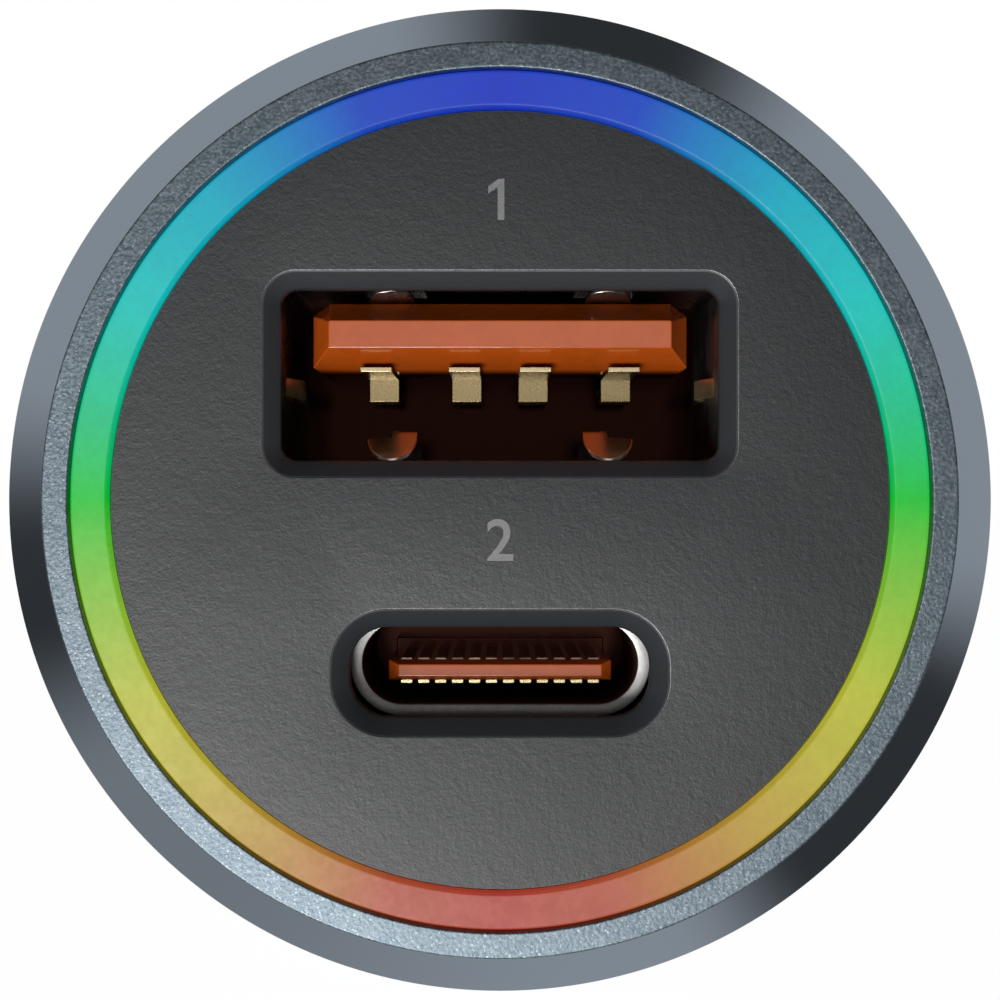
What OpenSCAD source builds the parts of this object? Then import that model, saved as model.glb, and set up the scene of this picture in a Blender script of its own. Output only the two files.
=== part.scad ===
// Two-port charger plug for a car's round power socket, with a light ring round its face.
// Millimetres. The plug's axis runs along Y: the face looks towards -Y and the tip points to +Y.
// The origin is on the axis, in the plane of the head's rear shoulder.
// Every piece is drawn with z running forward out of the face, then laid over by lay().

/* [Head] */
// Outer diameter of the head
head_d = 28.5; // [28:0.1:31]
// Length of the head, from its rear shoulder to the flat rim at the front
head_len = 16; // [15.6:0.1:20]
// Width of the polished chamfer round the rim
rim_chamfer = 1.25; // [0.6:0.05:1.4]
// Width of the flat rim between the chamfer and the light ring's bore
rim_flat = 0.66; // [0.5:0.02:0.9]
// Chamfer at the rear edge of the head
rear_chamfer = 0.8; // [0.2:0.1:1.2]
// Thickness of the wall between the head and the barrel
floor_t = 2; // [1.4:0.1:3]

/* [Barrel] */
// Diameter of the two bands that guide the barrel in its socket
barrel_d = 20.8; // [20.6:0.05:21.2]
// Length of the barrel, from the shoulder to the nose cap
barrel_len = 29; // [28:0.5:34]
// Wall of the barrel at its bands
barrel_wall = 1.2; // [1.1:0.05:1.3]
// Length of the guide band next to the head
head_band = 7.5; // [5:0.5:7.5]
// Length of the guide band next to the nose
nose_band = 5.6; // [4:0.2:5.8]
// How far the barrel is turned down between its bands
relief = 0.3; // [0.1:0.05:0.4]
// Chamfer at the barrel's rear edge
barrel_chamfer = 0.3; // [0.1:0.05:0.5]

/* [Light ring] */
// Gap between the light ring and its bore
ring_gap = 0.11; // [0.05:0.01:0.2]
// Width of the ring's lit flat
ring_flat = 0.95; // [0.8:0.05:1]
// Width of the bevel that slopes from the flat down to the face plate
ring_bevel = 0.15; // [0.1:0.01:0.2]
// How far the ring's flat lies below the rim
ring_drop = 0.15; // [0:0.05:0.3]
// Width of the ledge under the face plate's edge
ring_ledge = 0.3; // [0.2:0.05:0.4]
// Number of light-emitting diodes behind the ring
led_count = 12; // [6:1:16]

/* [Face plate] */
// How far the face plate lies below the rim
plate_drop = 0.4; // [0.35:0.05:0.8]
// Thickness of the face plate
plate_t = 1.3; // [1.1:0.1:1.5]
// Gap between the face plate and the ring round it
plate_gap = 0.03; // [0.02:0.01:0.06]
// Width of the bevels round both port openings
port_bevel = 0.54; // [0.4:0.02:0.6]
// Depth of the straight lip behind each bevel
port_lip = 0.26; // [0.2:0.02:0.3]
// Wall of the collars that hold the connectors
collar_wall = 0.7; // [0.5:0.1:0.9]
// Radius of the posts that stand on the port board
post_r = 1.1; // [0.9:0.05:1.1]

/* [Upper port] */
// Height of the upper port's centre above the axis
port_a_y = 3.6; // [3.5:0.05:3.8]
// Width of the upper port's opening in the face plate
port_a_w = 12.6; // [12.3:0.05:12.7]
// Height of the upper port's opening in the face plate
port_a_h = 4.92; // [4.8:0.02:5]
// Corner radius of the upper port's opening
port_a_r = 0.45; // [0.3:0.05:0.8]
// Inside width of the upper connector's shell
shell_a_w = 12.5; // [12.4:0.05:12.6]
// Inside height of the upper connector's shell
shell_a_h = 5.12; // [5:0.02:5.2]
// How far the shell's middle stands above the opening's middle
shell_a_rise = 0.12; // [0:0.02:0.2]
// How far the tongue's middle stands above the shell's middle
tongue_a_rise = 1.06; // [1:0.02:1.08]
// Gap between the upper connector's tongue and each side of its shell
tongue_a_gap = 0.8; // [0.7:0.05:0.9]
// Thickness of the upper connector's tongue
tongue_a_t = 1.84; // [1.7:0.02:1.88]
// Depth of the tongue's front below the face plate
tongue_a_depth = 1; // [0.9:0.1:1.5]
// Width of the bevel round the tongue's front
tongue_a_bevel = 0.5; // [0.3:0.05:0.6]
// Distance of the outer two contacts from the middle
contact_a_outer = 3.6; // [3.4:0.05:3.8]
// Distance of the inner two contacts from the middle
contact_a_inner = 1.04; // [1:0.02:1.2]
// Width of a contact blade
contact_a_w = 0.94; // [0.8:0.02:1]
// Thickness of a contact blade
contact_a_t = 0.18; // [0.12:0.02:0.2]
// How far a contact blade bulges below the tongue
contact_a_bulge = 0.64; // [0.4:0.02:0.8]

/* [Lower port] */
// Depth of the lower port's centre below the axis
port_c_y = 4.95; // [4.8:0.05:5.1]
// Width of the lower port's opening in the face plate
port_c_w = 8.64; // [8.4:0.02:8.8]
// Height of the lower port's opening in the face plate
port_c_h = 2.58; // [2.5:0.02:2.7]
// Corner radius of the lower port's opening
port_c_r = 1.1; // [0.8:0.05:1.2]
// Inside width of the lower connector's shell
shell_c_w = 8.34; // [8.3:0.01:8.4]
// Inside height of the lower connector's shell
shell_c_h = 2.56; // [2.5:0.02:2.6]
// How far the shell's middle stands above the opening's middle
shell_c_rise = 0.08; // [0:0.02:0.14]
// How far the tongue's middle hangs below the shell's middle
tongue_c_fall = 0.12; // [0:0.02:0.2]
// Depth of the lower shell's rim below the face plate
shell_c_depth = 2; // [1.4:0.1:2.4]
// Gap between the lower connector's tongue and each side of its shell
tongue_c_gap = 0.825; // [0.8:0.005:0.85]
// Thickness of the lower connector's tongue
tongue_c_t = 0.6; // [0.56:0.02:0.7]
// Depth of the lower tongue's front below the face plate
tongue_c_depth = 2.6; // [2.2:0.1:3]
// Number of contacts on each side of the lower tongue
contact_c_count = 12; // [10:1:12]
// Distance of the outer contacts' middles from the lower tongue's edges
contact_c_edge = 0.54; // [0.5:0.01:0.6]
// Width of a contact on the lower tongue
contact_c_w = 0.33; // [0.25:0.01:0.36]

/* [Connectors] */
// Thickness of the connector shells' sheet
sheet_t = 0.3; // [0.2:0.02:0.34]
// Clearance between pieces that are fitted into one another
fit = 0.05; // [0.02:0.01:0.08]

/* [Boards] */
// Depth of the port board's front below the face plate
port_board_depth = 10.2; // [10:0.1:10.4]
// Thickness of the port board and the main board
board_t = 1.2; // [1:0.1:1.4]
// Gap between the port board and the head's bore
port_board_gap = 0.2; // [0.1:0.05:0.3]
// Thickness of the ring-shaped light board
light_board_t = 0.8; // [0.6:0.1:1]
// Width of the light board's ring
light_board_w = 2.59; // [2.3:0.01:2.6]
// Gap between the barrel's capacitors and the carrier's bars
capacitor_gap = 0.9; // [0.5:0.1:1.5]
// Length of the capacitor behind the socket's supply
input_capacitor_len = 8.5; // [7:0.1:8.5]
// Length of the capacitor across the ports' supply
output_capacitor_len = 7.6; // [6:0.1:8]
// Side of the square coil block
coil_w = 7; // [6:0.2:7]
// Gap between the coil block and the carrier's bar
coil_gap = 1.5; // [0.5:0.1:2.5]
// Side of the square controller chip
chip_w = 5; // [4:0.1:5]
// Length of the fuse
fuse_len = 5.6; // [4:0.1:5.6]
// Length of the power diode's body
diode_len = 4.2; // [3.6:0.1:4.4]

/* [Carrier] */
// Gap between the carrier's rails and the barrel's bore
carrier_gap = 0.1; // [0.05:0.05:0.2]
// Thickness of the carrier's rails
rail_t = 1.1; // [0.9:0.05:1.3]
// Depth of the grooves in the rails that hold the main board's edges
groove_depth = 0.5; // [0.4:0.05:0.6]
// Thickness of the carrier's rear wall
bulkhead_t = 1.2; // [0.8:0.1:1.6]

/* [Side springs] */
// Width of a side spring
spring_w = 3.6; // [2.6:0.2:3.6]
// Thickness of a side spring
spring_t = 0.35; // [0.25:0.05:0.4]
// How far a side spring's crown stands out of the barrel
spring_proud = 0.8; // [0.5:0.05:0.9]
// Length of a side spring's bow
spring_bow = 10.8; // [9.6:0.2:11]
// Length of the flat foot at each end of a side spring
spring_foot = 1.6; // [1.2:0.1:1.7]
// Gap between a side spring and the edges of its window
window_gap = 0.3; // [0.2:0.05:0.35]

/* [Nose] */
// Length of the nose cap behind the barrel
nose_len = 11.2; // [10.6:0.2:14]
// Diameter of the nose cap's flat end
nose_end_d = 13.6; // [12.8:0.2:15]
// Length of the spigot that holds the nose cap in the barrel
spigot_len = 4.6; // [4:0.1:5]
// Wall of the spigot
spigot_wall = 0.95; // [0.8:0.05:1.1]
// Diameter of the tip pin
tip_d = 5.84; // [5.2:0.02:6]
// Gap between the tip pin and its hole
tip_gap = 0.08; // [0.05:0.01:0.1]
// How far the tip pin stands out of the nose cap
tip_out = 3.4; // [3.2:0.1:5]
// Wire diameter of the tip spring
coil_wire_d = 0.6; // [0.4:0.05:0.7]
// Number of turns of the tip spring
coil_turns = 7; // [5:0.5:8]

/* [Hidden] */
$fn = 72;
EPS = 0.01;

// Levels along the axis, measured forward from the shoulder
z_rim = head_len;
z_ring = z_rim - ring_drop;
z_face = z_rim - plate_drop;
z_plate_back = z_face - plate_t;
z_lip_back = z_face - port_bevel - port_lip;
z_port_board = z_face - port_board_depth;
z_port_board_back = z_port_board - board_t;
skirt_len = 1.7;
z_skirt = z_plate_back - skirt_len;
led_h = 0.45;
led_gap = 0.1;
z_light_board_back = z_skirt - led_h - 2 * led_gap - light_board_t;
z_light_board = z_light_board_back + light_board_t;
z_bulkhead_back = -barrel_len + spigot_len;
z_bulkhead = z_bulkhead_back + bulkhead_t;
z_nose_end = -barrel_len - nose_len;

// Radii of the head's stack
head_r = head_d / 2;
ring_bore_r = head_r - rim_chamfer - rim_flat;
ring_r = ring_bore_r - ring_gap;
ring_flat_r = ring_r - ring_flat;
ring_eye_r = ring_flat_r - ring_bevel;
ledge_r = ring_eye_r - ring_ledge;
plate_r = ring_eye_r - plate_gap;
skirt_r = ledge_r - fit;
skirt_wall = 0.8;
light_shoulder = 0.74;
head_bore_r = ring_bore_r - light_shoulder;
light_board_r = ring_bore_r - fit;
light_board_bore_r = light_board_r - light_board_w;
port_board_r = head_bore_r - port_board_gap;

// Barrel and carrier
barrel_r = barrel_d / 2;
barrel_bore_r = barrel_r - barrel_wall;
carrier_r = barrel_bore_r - carrier_gap;
main_board_w = 2 * (carrier_r - rail_t + groove_depth);
rail_half_w = 5.5;
spring_crown = barrel_r + spring_proud;
spring_foot_x = barrel_bore_r - 0.2;
spring_sag = spring_crown - spring_foot_x;
spring_bow_r = (pow(spring_bow / 2, 2) + pow(spring_sag, 2)) / (2 * spring_sag);
spring_rear_gap = 0.75;
z_spring = z_bulkhead + spring_rear_gap + spring_foot + spring_bow / 2;
spring_travel = 1;
bar_x = spring_foot_x - spring_t - spring_travel - 0.25;
bar_t = 0.9;
bar_half_w = 2.2;
bar_room = bar_x - bar_t - board_t / 2;
capacitor_d = bar_room - capacitor_gap;
coil_h = bar_room - coil_gap;

// Places on the main board, from its front end or from the carrier's rear wall
z_coil = z_port_board_back - 1.7 - coil_w / 2;
z_output_capacitor = z_port_board_back - 3.2 - output_capacitor_len;
z_input_capacitor = z_bulkhead + 5.2;
tail_len = 4;
z_fuse = z_bulkhead_back + tail_len + 0.8;
z_chip = z_port_board_back - 12.7 - chip_w;
z_diode = z_chip + 0.3;
z_chip_capacitors = z_port_board_back - 10.2;

// Upper connector
shell_a_y = port_a_y + shell_a_rise;
tongue_a_y = shell_a_y + tongue_a_rise;
tongue_a_w = shell_a_w - 2 * tongue_a_gap;
tongue_a_under = tongue_a_y - tongue_a_t / 2;
shell_corner = 0.3;
block_a_t = 2;
z_block_a = z_port_board + block_a_t;
contact_a_x = [-contact_a_outer, -contact_a_inner, contact_a_inner, contact_a_outer];
tab_x = 3.2;
tab_lower_w = 1.45;
tab_upper_w = 1.35;
tab_sheet = 0.22;
tab_front = 1.5;
side_spring_t = 0.18;
side_spring_h = 0.55;
side_spring_y = shell_a_y - 0.39;
side_spring_bulge = 0.38;
side_spring_bow = 3.2;
side_spring_front = 1.9;

// Lower connector
shell_c_y = -port_c_y + shell_c_rise;
tongue_c_y = shell_c_y - tongue_c_fall;
tongue_c_w = shell_c_w - 2 * tongue_c_gap;
contact_c_pitch = (tongue_c_w - 2 * contact_c_edge) / (contact_c_count - 1);
block_c_t = 1.6;
z_block_c = z_port_board + block_c_t;
tongue_c_step = 1.2;
tongue_c_step_t = 1.3;
contact_c_proud = 0.09;
contact_c_sunk = 0.05;
contact_c_back = 0.25;
mid_plate_t = 0.12;
mid_plate_inset = 0.395;
mid_plate_w = tongue_c_w - 2 * mid_plate_inset;

// Posts of the face plate, tabs of the main board and pins of the light board
post_at = [[8.1, -0.6], [6.4, -5.6]];
peg_r = 0.6;
tab_at = [[-2.4, 2.6], [-8.3, 1.4]];
leg_w = 1;
pin_w = 0.5;
pin_pitch = 1.27;
pin_count = 4;
pin_y = light_board_bore_r + pin_w;

// Nose
spigot_r = barrel_bore_r - fit;
snap_h = 0.2;
snap_w = 0.5;
z_snap = -barrel_len + 2.1;
cap_wall = 2;
tip_r = tip_d / 2;
tip_flange_r = tip_r + 1.5;
tip_flange_t = 1;
cavity_r = tip_flange_r + 0.25;
z_tip_seat = z_nose_end + cap_wall;
tip_stub_h = 1.2;
coil_wire_r = coil_wire_d / 2;
coil_r = 3.2;
contact_disc_t = 0.5;
contact_disc_r = 4.4;
z_contact_disc = z_bulkhead_back - contact_disc_t;

// Lays a piece drawn with z forward so that it faces -Y
module lay() {
    rotate([90, 0, 0]) children();
}

// Mirrors to the left where side is -1
module on_side(side) {
    if (side < 0) mirror([1, 0, 0]) children();
    else children();
}

// Both sides of the plug's middle plane
module both_sides() {
    for (side = [-1, 1]) on_side(side) children();
}

// Turns an outline of height and level so that it is swept across x, centred
module swept_across(w) {
    translate([-w / 2, 0, 0]) rotate([90, 0, 90]) linear_extrude(w) children();
}

// Turns an outline of x and level so that it is swept along y, from y0 to y1
module swept_up(y0, y1) {
    rotate([90, 0, 0]) translate([0, 0, -y1]) linear_extrude(y1 - y0) children();
}

// A flat rectangle with round corners, centred
module round_rect(w, h, r) {
    square([w - 2 * r, h], center = true);
    if (h > 2 * r + EPS) square([w, h - 2 * r], center = true);
    for (x = [-1, 1], y = [-1, 1])
        translate([x * (w / 2 - r), y * (h / 2 - r)]) circle(r);
}

// A straight block with round corners from level z0 to z1
module round_block(w, h, r, z0, z1) {
    translate([0, 0, z0]) linear_extrude(z1 - z0) round_rect(w, h, r);
}

// Section of a funnel of the given inner size
module bevel_outline(size, bevel, z_front) {
    polygon([[-size / 2, z_front - bevel], [size / 2, z_front - bevel],
             [size / 2 + bevel, z_front], [-size / 2 - bevel, z_front]]);
}

// A funnel whose opening grows by the bevel on each side over the bevel's depth
module bevel_funnel(w, h, r, bevel, z_front) {
    x = w / 2 - r;
    y = h / 2 - r;
    for (cx = [-x, x], cy = [-y, y])
        translate([cx, cy, z_front - bevel])
            cylinder(h = bevel, r1 = r, r2 = r + bevel);
    swept_across(2 * x) bevel_outline(h, bevel, z_front);
    swept_up(-y, y) bevel_outline(w, bevel, z_front);
}

// A ring of revolution between two radii and two levels
module ring(r_out, r_in, z0, z1) {
    translate([0, 0, z0]) difference() {
        cylinder(h = z1 - z0, r = r_out);
        translate([0, 0, -1]) cylinder(h = z1 - z0 + 2, r = r_in);
    }
}

// Turned aluminium head and barrel in one piece, with a window on each side of the barrel
module shell() {
    band_r = barrel_r - relief;
    z_nose_band = -barrel_len + nose_band;
    window_h = spring_w + 2 * window_gap;
    window_len = spring_bow + 2 * window_gap;
    color([0.44, 0.5, 0.54]) lay() difference() {
        rotate_extrude() polygon([
            [ring_bore_r, z_rim],
            [head_r - rim_chamfer, z_rim],
            [head_r, z_rim - rim_chamfer],
            [head_r, rear_chamfer],
            [head_r - rear_chamfer, 0],
            [barrel_r, 0],
            [barrel_r, -head_band],
            [band_r, -head_band - relief],
            [band_r, z_nose_band + relief],
            [barrel_r, z_nose_band],
            [barrel_r, -barrel_len + barrel_chamfer],
            [barrel_r - barrel_chamfer, -barrel_len],
            [barrel_bore_r, -barrel_len],
            [barrel_bore_r, z_snap - snap_w / 2],
            [barrel_bore_r + snap_h, z_snap - snap_w / 2],
            [barrel_bore_r + snap_h, z_snap + snap_w / 2],
            [barrel_bore_r, z_snap + snap_w / 2],
            [barrel_bore_r, floor_t],
            [head_bore_r, floor_t],
            [head_bore_r, z_light_board_back],
            [ring_bore_r, z_light_board_back]
        ]);
        translate([-head_r, -window_h / 2, z_spring - window_len / 2])
            cube([2 * head_r, window_h, window_len]);
    }
}

// Clear light guide: a lit flat, an inner bevel, a ledge for the face plate and a foot
module light_ring() {
    guide_r = ledge_r + 0.4;
    z_guide = z_light_board + led_h + led_gap;
    color([0.5, 0.85, 0.75]) lay() rotate_extrude() polygon([
        [ring_r, z_guide],
        [ring_r, z_ring],
        [ring_flat_r, z_ring],
        [ring_eye_r, z_face],
        [ring_eye_r, z_plate_back],
        [ledge_r, z_plate_back],
        [ledge_r, z_light_board],
        [guide_r, z_light_board],
        [guide_r, z_guide]
    ]);
}

// Moulded face plate with both bevelled port openings, a skirt, two collars and four posts
module face_plate() {
    color([0.27, 0.28, 0.3]) lay() difference() {
        union() {
            translate([0, 0, z_plate_back]) cylinder(h = plate_t, r = plate_r);
            ring(skirt_r, skirt_r - skirt_wall, z_skirt, z_plate_back + EPS);
            translate([0, shell_a_y, 0]) collar(shell_a_w, shell_a_h, 2 * shell_corner);
            translate([0, shell_c_y, 0]) collar(shell_c_w, shell_c_h, shell_c_h / 2 + sheet_t);
            both_sides() for (at = post_at) translate([at[0], at[1], 0]) post();
        }
        translate([0, port_a_y, 0]) port_cut(port_a_w, port_a_h, port_a_r);
        translate([0, -port_c_y, 0]) port_cut(port_c_w, port_c_h, port_c_r);
        translate([0, shell_a_y, 0]) connector_pocket(shell_a_w, shell_a_h, 2 * shell_corner);
        translate([0, shell_c_y, 0])
            connector_pocket(shell_c_w, shell_c_h, shell_c_h / 2 + sheet_t);
    }
}

// Wall round a connector behind the face plate
module collar(w, h, r) {
    grow = 2 * (sheet_t + fit + collar_wall);
    round_block(w + grow, h + grow, r + fit + collar_wall, z_skirt, z_plate_back + EPS);
}

// Bevel and straight lip of a port opening
module port_cut(w, h, r) {
    bevel_funnel(w, h, r, port_bevel, z_face);
    translate([0, 0, z_face]) linear_extrude(1) round_rect(w + 2 * port_bevel, h + 2 * port_bevel,
        r + port_bevel);
    round_block(w, h, r, z_lip_back - EPS, z_face - port_bevel + EPS);
}

// Room for a connector's shell behind the lip
module connector_pocket(w, h, r) {
    grow = 2 * (sheet_t + fit);
    round_block(w + grow, h + grow, r + fit, z_skirt - 1, z_lip_back);
}

// Post that stands on the port board, with a peg through the board
module post() {
    translate([0, 0, z_port_board]) cylinder(h = z_plate_back - z_port_board + EPS, r = post_r);
    translate([0, 0, z_port_board_back]) cylinder(h = board_t + EPS, r = peg_r);
}

// A sheet strip that bulges by sag over a bow, drawn along y with its flat side on x = 0
module bowed_strip(bow, sag, t, tail) {
    r = (pow(bow / 2, 2) + pow(sag, 2)) / (2 * sag);
    intersection() {
        translate([sag - r, -bow / 2]) difference() {
            circle(r);
            circle(r - t);
        }
        translate([-t, -bow - t]) square([sag + 2 * t, bow + 2 * t]);
    }
    if (tail > 0) translate([-t, -bow - tail]) square([t, tail + t]);
}

// A retention tab seen in plan: round free end, full width for a stretch, then its inner half
module tab_plan(w, len, full) {
    translate([0, -w / 2]) circle(w / 2);
    translate([-w / 2, -full]) square([w, full - w / 2]);
    translate([-w / 2, -len]) square([w / 2, len - w / 2]);
}

// Retention tab bent out of the sheet, standing up from y = 0 and running back from z = 0
module retention_tab(w, bow, sag, full) {
    root = 1.2;
    intersection() {
        swept_across(w) bowed_strip(bow, sag, tab_sheet, root);
        swept_up(-1, sag + 1) tab_plan(w, bow + root, full);
    }
}

// Slot left in the sheet round a retention tab
module tab_window(w, bow) {
    gap = 0.25;
    translate([-w / 2 - gap, -1, -bow - gap]) cube([w + 2 * gap, 2, bow + 2 * gap]);
}

// Places the four retention tabs or their slots on the upper connector's shell
module at_tabs(lower) {
    both_sides() translate([tab_x, shell_a_y + (lower ? -1 : 1) * shell_a_h / 2, z_face - tab_front])
        if (lower) children();
        else mirror([0, 1, 0]) children();
}

// Nickel-plated shell of the upper connector with four retention tabs and two legs
module usb_a_shell() {
    lower_bow = 5.5;
    lower_sag = 0.85;
    upper_bow = 3.2;
    upper_sag = 0.44;
    lower_full = 1.3;
    color([0.75, 0.75, 0.76]) lay() {
        difference() {
            translate([0, shell_a_y, 0]) connector_shell(shell_a_w, shell_a_h, shell_corner,
                z_lip_back - fit, z_port_board);
            at_tabs(true) tab_window(tab_lower_w, lower_bow);
            at_tabs(false) tab_window(tab_upper_w, upper_bow);
        }
        at_tabs(true) retention_tab(tab_lower_w, lower_bow, lower_sag, lower_full);
        at_tabs(false) retention_tab(tab_upper_w, upper_bow, upper_sag, 2 * upper_bow);
        both_sides() translate([shell_a_w / 2, shell_a_y - leg_w / 2, z_port_board_back])
            cube([sheet_t, leg_w, board_t + 1]);
    }
}

// Open sheet tube between two levels
module connector_shell(w, h, r, z_front, z_back) {
    difference() {
        round_block(w + 2 * sheet_t, h + 2 * sheet_t, r + sheet_t, z_back, z_front);
        round_block(w, h, r, z_back - 1, z_front + 1);
    }
}

// Orange insulator of the upper connector: bevelled tongue and the block behind it
module usb_a_tongue() {
    bevel_depth = 0.85;
    corner = 0.42;
    half_w = tongue_a_w / 2;
    half_t = tongue_a_t / 2;
    z_front = z_face - tongue_a_depth;
    color([0.78, 0.32, 0.1]) lay() difference() {
        union() {
            translate([0, tongue_a_y, 0]) intersection() {
                translate([0, 0, z_block_a - EPS]) linear_extrude(z_front - z_block_a + EPS)
                    polygon([[-half_w, -half_t], [half_w, -half_t], [half_w, half_t - corner],
                             [half_w - corner, half_t], [corner - half_w, half_t],
                             [-half_w, half_t - corner]]);
                swept_across(tongue_a_w)
                    nose_outline(half_t, tongue_a_bevel, bevel_depth, z_block_a, z_front);
                swept_up(-half_t, half_t)
                    nose_outline(half_w, tongue_a_bevel, bevel_depth, z_block_a, z_front);
            }
            translate([0, shell_a_y, 0]) round_block(shell_a_w - 2 * fit, shell_a_h - 2 * fit,
                shell_corner, z_port_board, z_block_a);
        }
        for (x = contact_a_x) translate([x, 0, 0]) contact_a_groove();
        both_sides() translate([shell_a_w / 2 - side_spring_t - 2 * fit,
            side_spring_y - side_spring_h / 2 - fit, z_port_board - 1])
            cube([side_spring_t + 2 * fit, side_spring_h + 2 * fit, block_a_t + 2]);
    }
}

// Outline of a tongue that narrows by the bevel over the depth behind its front
module nose_outline(half, bevel, depth, z_back, z_front) {
    polygon([[-half, z_back - 1], [half, z_back - 1], [half, z_front - depth],
             [half - bevel, z_front], [bevel - half, z_front], [-half, z_front - depth]]);
}

// Path of a contact blade's upper side: depth behind the face, height above the tongue's underside
contact_a_path = [
    [1.55, -0.02], [5.3, -0.02], [6.1, -contact_a_bulge], [7, -contact_a_bulge],
    [8, -0.3], [port_board_depth + board_t, -0.3]
];

// Side view of a contact blade
module contact_a_outline() {
    upper = [for (p = contact_a_path) [p[1], -p[0]]];
    lower = [for (i = [len(contact_a_path) - 1 : -1 : 0])
        [contact_a_path[i][1] - contact_a_t, -contact_a_path[i][0]]];
    polygon(concat(upper, lower));
}

// Channel that a blade lies in where it passes through the block
module contact_a_groove() {
    translate([-contact_a_w / 2 - fit, tongue_a_under - 0.3 - contact_a_t - fit, z_port_board - 1])
        cube([contact_a_w + 2 * fit, contact_a_t + 2 * fit, block_a_t + 2]);
}

// One gold-plated contact blade of the upper connector
module usb_a_contact(i) {
    color([0.83, 0.72, 0.45]) lay() translate([contact_a_x[i], tongue_a_under, z_face])
        swept_across(contact_a_w) contact_a_outline();
}

// Brass spring along a side wall of the upper connector
module usb_a_side_spring(side) {
    reach = port_board_depth + board_t - side_spring_front - side_spring_bow;
    color([0.78, 0.64, 0.36]) lay() on_side(side)
        translate([shell_a_w / 2 - fit, side_spring_y, z_face - side_spring_front])
            swept_up(-side_spring_h / 2, side_spring_h / 2)
                mirror([1, 0, 0]) translate([side_spring_t, 0])
                    bowed_strip(side_spring_bow, side_spring_bulge, side_spring_t, reach);
}

// Steel shell of the lower connector, a flattened tube with two legs
module usb_c_shell() {
    color([0.6, 0.6, 0.58]) lay() {
        translate([0, shell_c_y, 0]) connector_shell(shell_c_w, shell_c_h, shell_c_h / 2,
            z_face - shell_c_depth, z_port_board);
        both_sides() translate([shell_c_w / 2, shell_c_y - leg_w / 2, z_port_board_back])
            cube([sheet_t, leg_w, board_t + 1]);
    }
}

// Orange insulator of the lower connector: block, stepped root and thin tongue
module usb_c_tongue() {
    z_front = z_face - tongue_c_depth;
    bevel = 0.3;
    bevel_t = 0.11;
    color([0.78, 0.32, 0.1]) lay() difference() {
        union() {
            translate([0, shell_c_y, 0]) round_block(shell_c_w - 2 * fit, shell_c_h - 2 * fit,
                shell_c_h / 2 - fit, z_port_board, z_block_c);
            translate([-tongue_c_w / 2, tongue_c_y - tongue_c_step_t / 2, z_block_c - EPS])
                cube([tongue_c_w, tongue_c_step_t, tongue_c_step + EPS]);
            translate([0, tongue_c_y, 0]) intersection() {
                swept_across(tongue_c_w)
                    nose_outline(tongue_c_t / 2, bevel_t, bevel, z_block_c, z_front);
                swept_up(-tongue_c_t, tongue_c_t)
                    nose_outline(tongue_c_w / 2, bevel, bevel, z_block_c, z_front);
            }
        }
        contact_c_row(1, z_port_board - 1);
        contact_c_row(-1, z_port_board - 1);
        translate([-mid_plate_w / 2, tongue_c_y - mid_plate_t / 2, z_port_board - 1])
            cube([mid_plate_w, mid_plate_t, z_front - 0.8 - z_port_board + 1]);
    }
}

// Steel plate inside the lower tongue, soldered through the port board
module usb_c_mid_plate() {
    z_front = z_face - tongue_c_depth - 0.8;
    tail_w = 2;
    color([0.66, 0.66, 0.66]) lay() {
        translate([-mid_plate_w / 2, tongue_c_y - mid_plate_t / 2, z_port_board])
            cube([mid_plate_w, mid_plate_t, z_front - z_port_board]);
        translate([-tail_w / 2, tongue_c_y - mid_plate_t / 2, z_port_board_back])
            cube([tail_w, mid_plate_t, board_t + EPS]);
    }
}

// Row of flat contacts on one face of the lower tongue, from its front back to level z0
module contact_c_row(side, z0) {
    z_front = z_face - tongue_c_depth - contact_c_back;
    inner = tongue_c_t / 2 - contact_c_sunk;
    for (i = [0 : contact_c_count - 1])
        translate([(i - (contact_c_count - 1) / 2) * contact_c_pitch - contact_c_w / 2,
                   tongue_c_y + (side > 0 ? inner : -inner - contact_c_sunk - contact_c_proud), z0])
            cube([contact_c_w, contact_c_sunk + contact_c_proud, z_front - z0]);
}

// Gold-plated contacts of the lower connector, one face of the tongue
module usb_c_contacts(side) {
    color([0.85, 0.75, 0.5]) lay() contact_c_row(side, z_port_board);
}

// Ring-shaped board that rests on the shoulder inside the head
module light_board() {
    color([0.1, 0.3, 0.2]) lay() difference() {
        ring(light_board_r, light_board_bore_r, z_light_board_back, z_light_board);
        at_pins() pin(z_light_board_back - 1, z_light_board + 1);
    }
}

// Light-emitting diodes in a circle under the light ring's guide
module leds() {
    led_len = 1.6;
    led_w = 0.8;
    lane_r = ring_r - 0.1 - led_w;
    color([0.95, 0.93, 0.8]) lay() for (i = [0 : led_count - 1])
        rotate([0, 0, (i + 0.5) * 360 / led_count])
            translate([lane_r, -led_len / 2, z_light_board]) cube([led_w, led_len, led_h]);
}

// Places of the pins between the light board and the port board
module at_pins() {
    for (i = [0 : pin_count - 1])
        translate([(i - (pin_count - 1) / 2) * pin_pitch, pin_y, 0]) children();
}

// Square pin between two levels
module pin(z0, z1) {
    translate([-pin_w / 2, -pin_w / 2, z0]) cube([pin_w, pin_w, z1 - z0]);
}

// Pins that carry current from the port board up to the light board
module light_board_pins() {
    color([0.85, 0.75, 0.5]) lay() at_pins() pin(z_port_board_back, z_light_board + 0.3);
}

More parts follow.
